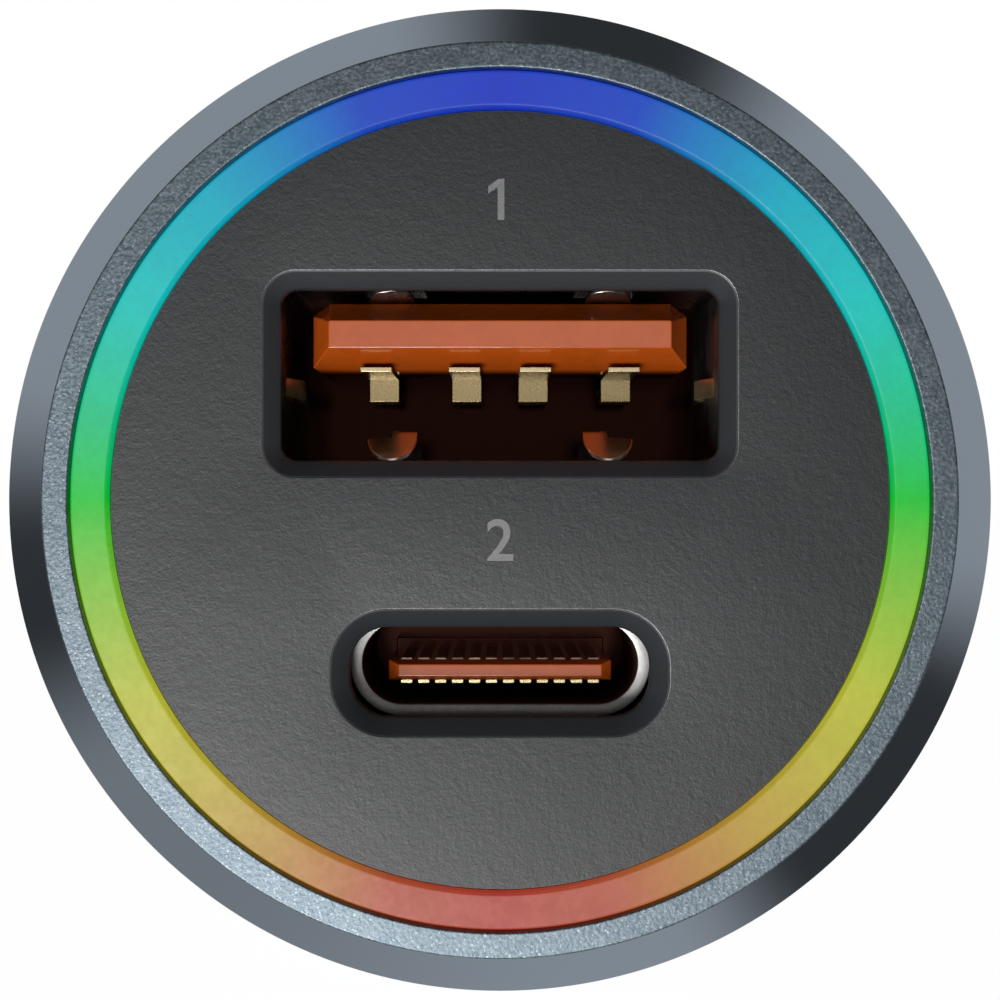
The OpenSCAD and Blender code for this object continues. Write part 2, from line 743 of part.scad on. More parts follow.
// Round board that both connectors, the posts and the main board are fixed to
module port_board() {
    color([0.1, 0.32, 0.2]) lay() difference() {
        translate([0, 0, z_port_board_back]) cylinder(h = board_t, r = port_board_r);
        both_sides() {
            for (at = post_at) translate([at[0], at[1], z_port_board_back - 1])
                cylinder(h = board_t + 2, r = peg_r + fit);
            board_slot(shell_a_w / 2 - fit, shell_a_y - leg_w / 2 - fit,
                sheet_t + 2 * fit, leg_w + 2 * fit);
            board_slot(shell_c_w / 2 - fit, shell_c_y - leg_w / 2 - fit,
                sheet_t + 2 * fit, leg_w + 2 * fit);
            board_slot(shell_a_w / 2 - side_spring_t - 2 * fit, side_spring_y - side_spring_h / 2 - fit,
                side_spring_t + 2 * fit, side_spring_h + 2 * fit);
        }
        for (x = contact_a_x) board_slot(x - contact_a_w / 2 - fit,
            tongue_a_under - 0.3 - contact_a_t - fit, contact_a_w + 2 * fit, contact_a_t + 2 * fit);
        board_slot(-1 - fit, tongue_c_y - mid_plate_t / 2 - fit, 2 + 2 * fit, mid_plate_t + 2 * fit);
        for (tab = tab_at) board_slot(-board_t / 2 - fit, tab[0] - fit, board_t + 2 * fit,
            tab[1] + 2 * fit);
        at_pins() pin(z_port_board_back - 1, z_port_board + 1);
    }
}

// Rectangular hole through the port board
module board_slot(x, y, w, h) {
    translate([x, y, z_port_board_back - 1]) cube([w, h, board_t + 2]);
}

// Long board along the axis, with two tabs that plug through the port board
module main_board() {
    color([0.1, 0.32, 0.2]) lay() {
        translate([-board_t / 2, -main_board_w / 2, z_bulkhead])
            cube([board_t, main_board_w, z_port_board_back - z_bulkhead]);
        for (tab = tab_at) translate([-board_t / 2, tab[0], z_port_board_back - EPS])
            cube([board_t, tab[1], board_t + EPS]);
    }
}

// Places a piece on the main board's right face, with x as its height above the board
module on_board(side, y, z) {
    lay() on_side(side) translate([board_t / 2, y, z]) children();
}

// Moulded coil with bevelled edges and two side terminals
module coil_block() {
    edge = 0.5;
    half = coil_w / 2;
    color([0.25, 0.25, 0.27]) on_board(1, 0, z_coil) {
        rotate([0, 90, 0]) linear_extrude(coil_h) polygon([
            [edge - half, -half], [half - edge, -half], [half, edge - half], [half, half - edge],
            [half - edge, half], [edge - half, half], [-half, half - edge], [-half, edge - half]]);
        for (y = [-half - 0.2, half - 0.01]) translate([0, y, -1.5]) cube([2, 0.21, 3]);
    }
}

// Electrolytic can lying along the board: rolled waist, scored end and base disc
module can(len) {
    r = capacitor_d / 2;
    waist = 0.25;
    translate([r, 0, 0]) rotate_extrude() polygon([
        [0, 0], [r - waist, 0], [r, waist], [r, 0.8], [r - waist, 1.05], [r - waist, 1.35],
        [r, 1.6], [r, len - waist], [r - waist, len], [0, len]
    ]);
}

// Capacitor behind the socket's supply
module input_capacitor() {
    color([0.3, 0.32, 0.4]) on_board(1, 0, z_input_capacitor) can(input_capacitor_len);
}

// Capacitor across the ports' supply
module output_capacitor() {
    color([0.8, 0.8, 0.82]) on_board(-1, -3.4, z_output_capacitor) can(output_capacitor_len);
}

// Flat square controller chip
module controller_chip() {
    chip_h = 0.85;
    color([0.12, 0.12, 0.13]) on_board(-1, 1, z_chip) difference() {
        cube([chip_h, chip_w, chip_w]);
        translate([chip_h + EPS, 0.9, 0.9]) rotate([0, 90, 0])
            translate([0, 0, -0.15]) cylinder(h = 0.3, r = 0.4);
    }
}

// Power diode with a sloped body and bent terminals
module power_diode() {
    foot_len = 1.2;
    foot_out = 0.5;
    color([0.14, 0.14, 0.15]) on_board(-1, -5.4, z_diode) {
        linear_extrude(diode_len) polygon([[0.3, 0], [1.2, 0], [2.2, 0.3], [2.2, 3.3],
                                           [1.2, 3.6], [0.3, 3.6]]);
        for (z = [-foot_out, diode_len + foot_out - foot_len])
            translate([0, 0.9, z]) cube([0.9, 1.8, foot_len]);
    }
}

// Ceramic surface fuse with end caps
module fuse() {
    fuse_w = 2.4;
    cap = 1.2;
    color([0.9, 0.9, 0.86]) on_board(-1, -1.6, z_fuse) {
        translate([0.05, 0.05, 0]) cube([fuse_w - 0.1, fuse_w - 0.1, fuse_len]);
        for (z = [0, fuse_len - cap]) translate([0, 0, z]) cube([fuse_w, fuse_w, cap]);
    }
}

// Row of small ceramic capacitors
module chip_capacitors() {
    count = 4;
    pitch = 1.8;
    color([0.72, 0.6, 0.45]) for (i = [0 : count - 1])
        on_board(-1, 3.2, z_chip_capacitors + i * pitch) cube([0.8, 1.6, 0.8]);
}

// Moulded carrier: flange under the port board, two grooved rails, two bars and a rear wall
module board_carrier() {
    flange_bore_r = 8.3;
    color([0.13, 0.13, 0.14]) lay() difference() {
        union() {
            ring(head_bore_r - 4 * fit, flange_bore_r, floor_t, z_port_board_back);
            intersection() {
                ring(carrier_r, carrier_r - rail_t, z_bulkhead_back, z_port_board_back);
                translate([-rail_half_w, -carrier_r, z_bulkhead_back])
                    cube([2 * rail_half_w, 2 * carrier_r, z_port_board_back - z_bulkhead_back]);
            }
            translate([0, 0, z_bulkhead_back]) cylinder(h = bulkhead_t, r = carrier_r);
            both_sides() {
                translate([bar_x - bar_t, -bar_half_w, z_bulkhead_back])
                    cube([bar_t, 2 * bar_half_w, z_port_board_back - z_bulkhead_back]);
                translate([bar_x - bar_t, -bar_half_w, floor_t])
                    cube([flange_bore_r + 0.4 - bar_x + bar_t, 2 * bar_half_w,
                          z_port_board_back - floor_t]);
            }
        }
        translate([-board_t / 2 - fit, -main_board_w / 2 - fit, z_bulkhead])
            cube([board_t + 2 * fit, main_board_w + 2 * fit, z_port_board - z_bulkhead]);
        translate([0, 0, z_bulkhead_back - 1]) contact_tail(fit, 2 * bulkhead_t + 1);
    }
}

// Bowed side spring with two flat feet, drawn on the right
module side_spring() {
    half = spring_bow / 2;
    foot_x = spring_foot_x - spring_t;
    translate([0, 0, z_spring]) swept_up(-spring_w / 2, spring_w / 2) {
            intersection() {
                translate([spring_crown - spring_bow_r, 0]) difference() {
                    circle(spring_bow_r, $fn = 120);
                    circle(spring_bow_r - spring_t, $fn = 120);
                }
                translate([foot_x, -half]) square([spring_crown, spring_bow]);
            }
            for (end = [-1, 1]) translate([foot_x, end > 0 ? half - 2 * spring_t : -half - spring_foot])
                square([spring_t, spring_foot + 2 * spring_t]);
        }
}

// Ground spring that reaches out through one of the barrel's windows
module ground_spring(side) {
    color([0.78, 0.78, 0.76]) lay() on_side(side) side_spring();
}

// Tail of the tip contact, from level 0 forward
module contact_tail(grow, len) {
    translate([-board_t / 2 - 0.4 - grow, -1.2 - grow, 0]) cube([0.4 + 2 * grow, 2.4 + 2 * grow, len]);
}

// Disc that the tip spring presses on, with a tail soldered to the main board
module tip_contact() {
    color([0.8, 0.7, 0.42]) lay() {
        translate([0, 0, z_contact_disc]) cylinder(h = contact_disc_t, r = contact_disc_r);
        translate([0, 0, z_bulkhead_back - EPS]) contact_tail(0, tail_len);
    }
}

// Compression spring behind the tip pin: a wire swept along a helix with flat end turns
module tip_spring() {
    z0 = z_tip_seat + tip_flange_t + coil_wire_r;
    climb = z_contact_disc - coil_wire_r - z0;
    end_climb = 1.05 * coil_wire_d;
    sides = 8;
    per_turn = 20;
    steps = round(coil_turns * per_turn);
    levels = [[0, 0], [1, end_climb], [coil_turns - 1, climb - end_climb], [coil_turns, climb]];
    points = [for (i = [0 : steps], j = [0 : sides - 1])
        let (turns = coil_turns * i / steps, a = 360 * j / sides, r = coil_r + coil_wire_r * cos(a))
        [r * cos(360 * turns), r * sin(360 * turns),
         z0 + lookup(turns, levels) + coil_wire_r * sin(a)]];
    walls = [for (i = [0 : steps - 1], j = [0 : sides - 1])
        let (k = (j + 1) % sides)
        [i * sides + j, i * sides + k, (i + 1) * sides + k, (i + 1) * sides + j]];
    start = [for (j = [sides - 1 : -1 : 0]) j];
    end = [for (j = [0 : sides - 1]) steps * sides + j];
    color([0.75, 0.75, 0.77]) lay() polyhedron(points, concat(walls, [start, end]), convexity = 10);
}

// Turned tip pin: domed end, shaft, flange and the stub that centres the spring
module tip_pin() {
    z_dome = z_nose_end - tip_out;
    dome_h = 1.4;
    dome_flat = 1.2;
    stub_r = coil_r - coil_wire_r - 0.3;
    dome_rise = tip_r - dome_flat;
    color([0.8, 0.8, 0.78]) lay() rotate_extrude() polygon(concat(
        [[0, z_dome], [dome_flat, z_dome]],
        [for (a = [15 : 15 : 90]) [dome_flat + dome_rise * sin(a), z_dome + dome_h * (1 - cos(a))]],
        [[tip_r, z_tip_seat], [tip_flange_r, z_tip_seat], [tip_flange_r, z_tip_seat + tip_flange_t],
         [stub_r, z_tip_seat + tip_flange_t], [stub_r, z_tip_seat + tip_flange_t + tip_stub_h],
         [0, z_tip_seat + tip_flange_t + tip_stub_h]]));
}

// Black nose cap: spigot with a snap bead, tapered body and the tip pin's guide
module nose_cap() {
    spigot_bore_r = spigot_r - spigot_wall;
    body_r = barrel_r - 0.1;
    end_r = nose_end_d / 2;
    edge = 1;
    z_body = -barrel_len;
    z_cavity_top = z_body - 1;
    bead = snap_h - fit;
    color([0.1, 0.1, 0.11]) lay() rotate_extrude() polygon([
        [spigot_bore_r, z_bulkhead_back],
        [spigot_r, z_bulkhead_back],
        [spigot_r, z_snap + snap_w / 2 - fit],
        [spigot_r + bead, z_snap + snap_w / 2 - 2 * fit],
        [spigot_r + bead, z_snap - snap_w / 2 + 2 * fit],
        [spigot_r, z_snap - snap_w / 2 + fit],
        [spigot_r, z_body],
        [body_r, z_body],
        [body_r, z_body - 1.5],
        [end_r + edge, z_nose_end + edge],
        [end_r, z_nose_end],
        [tip_r + tip_gap + 0.3, z_nose_end],
        [tip_r + tip_gap, z_nose_end + 0.3],
        [tip_r + tip_gap, z_tip_seat],
        [cavity_r, z_tip_seat],
        [cavity_r, z_cavity_top],
        [spigot_bore_r, z_cavity_top]
    ]);
}

shell();
light_ring();
face_plate();
usb_a_shell();
usb_a_tongue();
usb_a_contact(0);  // usb_a_contact_1
usb_a_contact(1);  // usb_a_contact_2
usb_a_contact(2);  // usb_a_contact_3
usb_a_contact(3);  // usb_a_contact_4
usb_a_side_spring(-1);  // usb_a_side_spring_left
usb_a_side_spring(1);  // usb_a_side_spring_right
usb_c_shell();
usb_c_tongue();
usb_c_mid_plate();
usb_c_contacts(1);  // usb_c_contacts_upper
usb_c_contacts(-1);  // usb_c_contacts_lower
light_board();
leds();
light_board_pins();
port_board();
main_board();
coil_block();
input_capacitor();
output_capacitor();
controller_chip();
power_diode();
fuse();
chip_capacitors();
board_carrier();
ground_spring(-1);  // ground_spring_left
ground_spring(1);  // ground_spring_right
tip_contact();
tip_spring();
tip_pin();
nose_cap();
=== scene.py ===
import math
import bpy
import bmesh
from mathutils import Matrix, Vector


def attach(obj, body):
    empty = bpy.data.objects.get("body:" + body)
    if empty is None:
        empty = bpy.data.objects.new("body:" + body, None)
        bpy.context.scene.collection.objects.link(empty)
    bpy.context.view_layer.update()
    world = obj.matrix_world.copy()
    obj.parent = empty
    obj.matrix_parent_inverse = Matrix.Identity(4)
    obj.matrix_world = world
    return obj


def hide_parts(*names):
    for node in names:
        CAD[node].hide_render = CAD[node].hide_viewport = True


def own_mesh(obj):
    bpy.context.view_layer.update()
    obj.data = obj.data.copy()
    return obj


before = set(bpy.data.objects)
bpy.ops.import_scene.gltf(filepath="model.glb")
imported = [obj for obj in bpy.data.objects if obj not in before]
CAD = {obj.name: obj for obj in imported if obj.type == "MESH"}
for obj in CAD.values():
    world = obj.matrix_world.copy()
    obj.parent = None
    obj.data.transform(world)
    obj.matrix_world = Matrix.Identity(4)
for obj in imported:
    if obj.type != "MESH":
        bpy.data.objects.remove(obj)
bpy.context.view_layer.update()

MM = 0.001

# Sizes in millimetres, from the part's source or measured in the photograph after it. "out" is the
# distance forward from the shoulder.
RIM_OUT = 16.0
FACE_OUT = 15.6
RING_OUT = 15.85
PLATE_BACK = 14.3
SKIRT_OUT = 12.6
LIP_BACK = 14.8
PORT_BOARD = 5.4
PORT_BOARD_BACK = 4.2
HEAD_R = 14.25
RIM_EDGE_R = 13.0
RING_BORE_R = 12.285
RING_R = 12.235
RING_FLAT_R = 11.235
RING_EYE_R = 11.19
LEDGE_R = 10.83        # where the face plate's skirt meets the light ring's ledge
PLATE_R = 11.16
BARREL_R = 10.4
BORE_R = 9.2
BARREL_END = -29.0
NOSE_END = -40.2
SHEET = 0.3
FIT = 0.05
SNAP_OUT = BARREL_END + 2.1        # the groove that holds the nose cap
SPRING_OUT = -15.45        # the middle of the barrel's side windows
CARRIER_END = -24.4
TIP_SEAT = NOSE_END + 2
WIDE_SHELL = (12.5, 5.12, 0.3, 3.72)        # width, height, corner radius and height of the middle
OVAL_SHELL = (8.34, 2.56, 1.28, -4.87)
WIDE_TONGUE_UP = 4.861
WIDE_TONGUE_HALF = 0.955        # half its thickness
OVAL_TONGUE_UP = -5.10
OVAL_TONGUE_HALF = 0.3
TAB_X = 3.2
CONTACT_PITCH = 0.51
CONTACT_SHEET = 0.09
NUMBER_SIZE = 1.68
CAMERA_AWAY = 55.0        # in front of the face plate
PIXELS_PER_MM = 35
SQUARE = ((-1, -1), (1, -1), (1, 1), (-1, 1))
SHARP = 32.0        # degrees from which an edge is shaded sharp


def add_object(name, data):
    """Puts a new object into the scene."""
    made = bpy.data.objects.new(name, data)
    bpy.context.scene.collection.objects.link(made)
    return made


def set_camera():
    """Dead-on to the face, as near as the photograph's camera."""
    data = bpy.data.cameras.new("face_camera")
    data.sensor_width = 36
    data.lens = 36 * CAMERA_AWAY / (1000 / PIXELS_PER_MM)
    data.clip_start = 0.001
    data.clip_end = 10
    camera = add_object("face_camera", data)
    camera.location = (0, -(FACE_OUT + CAMERA_AWAY) * MM, 0)
    camera.rotation_euler = (math.radians(90), 0, 0)
    bpy.context.scene.camera = camera


set_camera()
bpy.context.scene.view_settings.view_transform = "Standard"


# Node helpers

def connect(tree, socket, value):
    """Links a socket to another one or to a node's first output, or gives it a plain value."""
    if isinstance(value, bpy.types.Node):
        value = value.outputs[0]
    if isinstance(value, bpy.types.NodeSocket):
        tree.links.new(value, socket)
    else:
        socket.default_value = value


def put(tree, kind, props=None, **inputs):
    """Adds a node; inputs are nodes, sockets or values, named with _ for a space or iN by number."""
    made = tree.nodes.new(kind)
    for key, value in (props or {}).items():
        setattr(made, key, value)
    for key, value in inputs.items():
        by_number = key[0] == "i" and key[1:].isdigit()
        connect(tree, made.inputs[int(key[1:]) if by_number else key.replace("_", " ")], value)
    return made


def maths(tree, operation, *values):
    made = put(tree, "ShaderNodeMath", {"operation": operation})
    for socket, value in zip(made.inputs, values):
        connect(tree, socket, value)
    return made.outputs[0]


def times(tree, a, b):
    return maths(tree, "MULTIPLY", a, b)


def step(tree, value, low, high, to_low=0.0, to_high=1.0):
    """Smooth step of value from low to high."""
    return put(tree, "ShaderNodeMapRange", {"interpolation_type": "SMOOTHSTEP"},
               Value=value, From_Min=low, From_Max=high, To_Min=to_low, To_Max=to_high).outputs[0]


def spread(tree, value, low, high):
    """Maps 0..1 to low..high."""
    return put(tree, "ShaderNodeMapRange", Value=value, To_Min=low, To_Max=high).outputs[0]


def between(tree, value, low, low_full, high_full, high):
    """1 from low_full to high_full, fading to 0 at low and at high, all in millimetres."""
    return times(tree, step(tree, value, low * MM, low_full * MM),
                 step(tree, value, high * MM, high_full * MM))


def blend_colours(tree, factor, a, b):
    made = put(tree, "ShaderNodeMix", {"data_type": "RGBA"}, i0=factor)
    for socket, colour in ((made.inputs[6], a), (made.inputs[7], b)):
        connect(tree, socket, (*colour, 1) if isinstance(colour, tuple) else colour)
    return made.outputs[2]


def blend_numbers(tree, factor, a, b):
    return put(tree, "ShaderNodeMix", {"data_type": "FLOAT"}, i0=factor, i2=a, i3=b).outputs[0]


def ramp(tree, factor, stops):
    made = put(tree, "ShaderNodeValToRGB", Fac=factor)
    band = made.color_ramp
    band.elements[0].position, band.elements[0].color = stops[0][0], (*stops[0][1], 1)
    band.elements[1].position, band.elements[1].color = stops[-1][0], (*stops[-1][1], 1)
    for place, colour in stops[1:-1]:
        band.elements.new(place).color = (*colour, 1)
    return made.outputs[0]


def own_place(tree):
    """The place on the piece in the piece's own coordinates."""
    return tree.nodes.new("ShaderNodeTexCoord").outputs["Object"]


def own_axes(tree):
    """The same place as three sockets in metres; y runs along the plug's axis."""
    return put(tree, "ShaderNodeSeparateXYZ", Vector=own_place(tree)).outputs


def from_axis(tree, x, z):
    """The distance from the plug's axis."""
    return maths(tree, "SQRT", maths(tree, "ADD", times(tree, x, x), times(tree, z, z)))


def add_inputs(tree, inputs):
    """Gives a tree named inputs; returns the identifier that each label has."""
    labels = {}
    for label, kind, default in inputs:
        made = tree.interface.new_socket(label, in_out="INPUT", socket_type="NodeSocket" + kind)
        if default is not None:
            made.default_value = default
        labels[label] = made.identifier
    return labels


def new_group(name, inputs, outputs):
    """An empty shader group with named sockets; returns the tree and its inputs' sockets by name."""
    tree = bpy.data.node_groups.new(name, "ShaderNodeTree")
    add_inputs(tree, inputs)
    for label, kind in outputs:
        tree.interface.new_socket(label, in_out="OUTPUT", socket_type="NodeSocket" + kind)
    return tree, tree.nodes.new("NodeGroupInput").outputs, tree.nodes.new("NodeGroupOutput").inputs


# Shared effects

def make_fine_grain():
    """Grain of a moulded or blasted surface: two sizes of noise, as a height and as a tone."""
    tree, given, out = new_group(
        "fine_grain", [("Grains per metre", "Float", 8000.0), ("Coarse Share", "Float", 0.4)],
        [("Height", "Float"), ("Tone", "Float")])
    place = own_place(tree)
    fine = put(tree, "ShaderNodeTexNoise", Vector=place, Scale=given["Grains per metre"], Detail=2.0)
    wide = put(tree, "ShaderNodeTexNoise", Vector=place,
               Scale=times(tree, given["Grains per metre"], 0.27), Detail=1.0)
    height = blend_numbers(tree, given["Coarse Share"], fine, wide)
    tree.links.new(height, out["Height"])
    tree.links.new(step(tree, height, 0.35, 0.65), out["Tone"])
    return tree


def make_worn_edges():
    """Mask that is 1 on sharp outer edges, broken up by noise."""
    tree, given, out = new_group(
        "worn_edges", [("Spread", "Float", 0.1), ("Patches per metre", "Float", 900.0)],
        [("Mask", "Float")])
    edge = tree.nodes.new("ShaderNodeNewGeometry").outputs["Pointiness"]
    patch = put(tree, "ShaderNodeTexNoise", Vector=own_place(tree), Scale=given["Patches per metre"],
                Detail=3.0)
    top = maths(tree, "ADD", given["Spread"], 0.54)
    rise = put(tree, "ShaderNodeMapRange", Value=edge, From_Min=0.54, From_Max=top)
    mask = times(tree, rise, step(tree, patch, 0.3, 0.6))
    tree.links.new(mask, out["Mask"])
    return tree


def make_turning_marks():
    """Fine rings that a lathe leaves: noise over the distance along the axis and from it."""
    tree, given, out = new_group(
        "turning_marks", [("Lines per metre", "Float", 9000.0)], [("Height", "Float"), ("Tone", "Float")])
    x, y, z = own_axes(tree)
    across = put(tree, "ShaderNodeCombineXYZ", X=x, Z=z).outputs[0]
    radius = put(tree, "ShaderNodeVectorMath", {"operation": "LENGTH"}, Vector=across).outputs["Value"]
    line = put(tree, "ShaderNodeCombineXYZ", X=radius, Y=y)
    marks = put(tree, "ShaderNodeTexNoise", {"noise_dimensions": "2D"}, Vector=line,
                Scale=given["Lines per metre"], Detail=2.0)
    tree.links.new(marks.outputs[0], out["Height"])
    tree.links.new(step(tree, marks, 0.3, 0.7), out["Tone"])
    return tree


def make_smudges():
    """Large soft patches where hands and dust have dulled a surface."""
    tree, given, out = new_group("smudges", [("Patches per metre", "Float", 160.0)], [("Mask", "Float")])
    patch = put(tree, "ShaderNodeTexNoise", Vector=own_place(tree), Scale=given["Patches per metre"],
                Detail=4.0, Roughness=0.6)
    tree.links.new(step(tree, patch, 0.42, 0.72), out["Mask"])
    return tree


GRAIN = make_fine_grain()
WEAR = make_worn_edges()
MARKS = make_turning_marks()
SMUDGES = make_smudges()


def effect(tree, group, **inputs):
    """Places a shared effect in a material and returns its outputs."""
    return put(tree, "ShaderNodeGroup", {"node_tree": group}, **inputs).outputs


def new_finish(name):
    """A material with a Principled shader; returns it, its tree and the shader."""
    material = bpy.data.materials.new(name)
    material.use_nodes = True
    tree = material.node_tree
    return material, tree, tree.nodes["Principled BSDF"]


def set_shader(tree, shader, base, rough, height, depth_mm, strength=1.0, **more):
    """Gives the shader its colour, roughness, height and more, named as in put."""
    bump = put(tree, "ShaderNodeBump", Strength=strength, Distance=depth_mm * MM, Height=height)
    for key, value in dict(Base_Color=base, Roughness=rough, Normal=bump, **more).items():
        connect(tree, shader.inputs[key.replace("_", " ")], value)


def plain_finish(name, colour, other, metallic, rough, grain_mm, depth_mm, wear_colour=None, lines=None):
    """The finish of an ordinary piece: two close tones, grain, dulled patches and lighter worn edges."""
    material, tree, shader = new_finish(name)
    grain = effect(tree, GRAIN, Grains_per_metre=1 / (grain_mm * MM))
    dull = effect(tree, SMUDGES)["Mask"]
    base = blend_colours(tree, grain["Tone"], colour, other)
    if wear_colour:
        base = blend_colours(tree, effect(tree, WEAR)["Mask"], base, wear_colour)
    height = grain["Height"]
    if lines:
        marks = effect(tree, MARKS, Lines_per_metre=lines)
        height = maths(tree, "ADD", times(tree, height, 0.3), marks["Height"])
    level = maths(tree, "MULTIPLY_ADD", grain["Tone"], 0.35, times(tree, dull, 0.65))
    set_shader(tree, shader, base, spread(tree, level, *rough), height, depth_mm, Metallic=metallic)
    return material


def body_metal_finish():
    """Blue-grey anodised aluminium: bead-blasted rim and side, polished chamfer, turned barrel."""
    material, tree, shader = new_finish("body_metal")
    x, y, z = own_axes(tree)
    radius, out = from_axis(tree, x, z), times(tree, y, -1.0)
    polished = times(tree, step(tree, radius, 13.02 * MM, 13.05 * MM),
                     step(tree, out, 14.70 * MM, 14.74 * MM))
    turned = maths(tree, "SUBTRACT", 1.0, step(tree, out, -0.1 * MM, 0.0))
    blast = effect(tree, GRAIN, Grains_per_metre=9000.0, Coarse_Share=0.3)
    marks = effect(tree, MARKS, Lines_per_metre=7000.0)
    dull = effect(tree, SMUDGES)["Mask"]
    # Painted glints: small lighter specks blended into the colour stand in for the sparkle of the blasted
    # grains
    cell = put(tree, "ShaderNodeTexVoronoi", Scale=8000.0, Vector=own_place(tree))
    glint = step(tree, cell.outputs["Distance"], 0.34, 0.1)
    grainy = maths(tree, "SUBTRACT", 1.0, maths(tree, "MAXIMUM", polished, turned))
    base = blend_colours(tree, blast["Tone"], (0.104, 0.133, 0.156), (0.180, 0.216, 0.241))
    base = blend_colours(tree, times(tree, glint, 0.3), base, (0.50, 0.56, 0.60))
    base = blend_colours(tree, maths(tree, "SUBTRACT", 1.0, grainy), base, (0.188, 0.224, 0.264))
    rough = maths(tree, "ADD", spread(tree, blast["Tone"], 0.46, 0.52), times(tree, dull, 0.02))
    smooth = maths(tree, "MULTIPLY_ADD", dull, 0.02, 0.15)
    lathe_rough = maths(tree, "MULTIPLY_ADD", marks["Tone"], 0.08, 0.26)
    rough = blend_numbers(tree, polished, blend_numbers(tree, turned, rough, lathe_rough), smooth)
    height = times(tree, grainy, blast["Height"])
    height = maths(tree, "MULTIPLY_ADD", times(tree, turned, marks["Height"]), 0.4, height)
    set_shader(tree, shader, base, rough, height, 0.02, 0.8, Metallic=1.0)
    return material


def light_guide_finish():
    """Frosted guide lit from behind: the colour runs from red at the bottom to blue at the top."""
    material, tree, shader = new_finish("light_guide")
    x, y, z = own_axes(tree)
    radius = from_axis(tree, x, z)
    turn = maths(tree, "DIVIDE", maths(tree, "ARCTAN2", maths(tree, "ABSOLUTE", x),
                                       times(tree, z, -1.0)), math.pi)
    grain = effect(tree, GRAIN, Grains_per_metre=5200.0, Coarse_Share=0.4)
    pure = ramp(tree, turn, [
        (0.00, (0.74, 0.07, 0.04)), (0.09, (0.76, 0.13, 0.05)), (0.25, (0.88, 0.70, 0.06)),
        (0.34, (0.88, 0.92, 0.06)), (0.50, (0.00, 0.97, 0.05)), (0.66, (0.00, 0.98, 0.92)),
        (0.76, (0.00, 0.72, 0.97)), (0.89, (0.01, 0.11, 0.95)), (1.00, (0.01, 0.06, 0.93))])
    bevel = maths(tree, "SUBTRACT", 1.0, step(tree, radius, 11.215 * MM, 11.245 * MM))
    level = maths(tree, "MULTIPLY_ADD", bevel, -0.06, 0.50)
    level = maths(tree, "MULTIPLY_ADD", grain["Tone"], -0.04, level)
    base = blend_colours(tree, 0.035, (0.012, 0.012, 0.012), pure)
    rough = maths(tree, "MULTIPLY_ADD", bevel, -0.34, spread(tree, grain["Tone"], 0.47, 0.53))
    set_shader(tree, shader, base, rough, grain["Height"], 0.004, Specular_IOR_Level=0.5,
               Emission_Color=blend_colours(tree, level, (0, 0, 0), pure), Emission_Strength=1.0)
    return material


def plate_finish():
    """Dark grey moulded plastic with a fine spark-eroded skin; the ports' bevels are smoother. A thin band
    along the rounded front edges is painted light and metallic as a painted highlight line.
    """
    material, tree, shader = new_finish("plate_plastic")
    grain = effect(tree, GRAIN, Grains_per_metre=6200.0, Coarse_Share=0.45)
    fleck = effect(tree, GRAIN, Grains_per_metre=15000.0, Coarse_Share=0.2)
    dull = effect(tree, SMUDGES)["Mask"]
    y = own_axes(tree)["Y"]
    front = step(tree, y, -15.585 * MM, -15.598 * MM)
    base = blend_colours(tree, fleck["Tone"], (0.007, 0.0078, 0.009), (0.015, 0.0163, 0.018))
    height = maths(tree, "ADD", grain["Height"], times(tree, fleck["Height"], 0.5))
    height = times(tree, height, front)
    # Painted highlight: the rounded front edges get a light grey, metallic colour so that they show a bright
    # line
    edge = between(tree, y, -15.5995, -15.596, -15.575, -15.560)
    base = blend_colours(tree, front, (0.023, 0.0265, 0.0305), base)
    base = blend_colours(tree, edge, base, (0.27, 0.275, 0.285))
    rough = maths(tree, "MULTIPLY_ADD", front, 0.15, spread(tree, dull, 0.32, 0.34))
    set_shader(tree, shader, base, rough, height, 0.017, 0.9, Metallic=edge, Specular_IOR_Level=0.65)
    return material


def orange_finish():
    """Glossy orange insulator; deep in the ports the blocks behind the tongues are painted nearly black and
    metallic as painted shade, darkest in the upper port.
    """
    material, tree, shader = new_finish("orange_plastic")
    x, y, z = own_axes(tree)
    # Painted shade: deep in the ports the orange turns nearly black and metallic, so the blocks there stay
    # dark
    back = step(tree, y, -13.3 * MM, -9.5 * MM)
    upper = step(tree, z, -0.5 * MM, 0.0)
    grain = effect(tree, GRAIN, Grains_per_metre=3000.0)
    fine = effect(tree, GRAIN, Grains_per_metre=14000.0)
    base = blend_colours(tree, grain["Tone"], (0.445, 0.076, 0.006), (0.485, 0.084, 0.007))
    painted_recess_shade = blend_colours(tree, upper, (0.028, 0.010, 0.007), (0.009, 0.003, 0.002))
    base = blend_colours(tree, back, base, painted_recess_shade)
    set_shader(tree, shader, base, spread(tree, fine["Tone"], 0.13, 0.17), fine["Height"], 0.0005,
               Metallic=back, Specular_IOR_Level=0.85)
    return material


def oval_steel_finish():
    """Drawn steel with a clean rim; the inside of the tube is painted dark and warm as painted shade and a
    painted reflection of the orange tongue.
    """
    material, tree, shader = new_finish("oval_steel")
    painted_shade_inside = step(tree, own_axes(tree)["Y"], -13.50 * MM, -13.36 * MM)
    grain = effect(tree, GRAIN, Grains_per_metre=9000.0)
    dull = effect(tree, SMUDGES)["Mask"]
    base = blend_colours(tree, grain["Tone"], (0.36, 0.355, 0.345), (0.42, 0.415, 0.40))
    # Painted shade and painted reflection: the inside of the tube is dark reddish brown
    dark = blend_colours(tree, grain["Tone"], (0.17, 0.085, 0.062), (0.20, 0.10, 0.073))
    base = blend_colours(tree, painted_shade_inside, base, dark)
    set_shader(tree, shader, base, spread(tree, dull, 0.45, 0.52), grain["Height"], 0.002, Metallic=0.9)
    return material


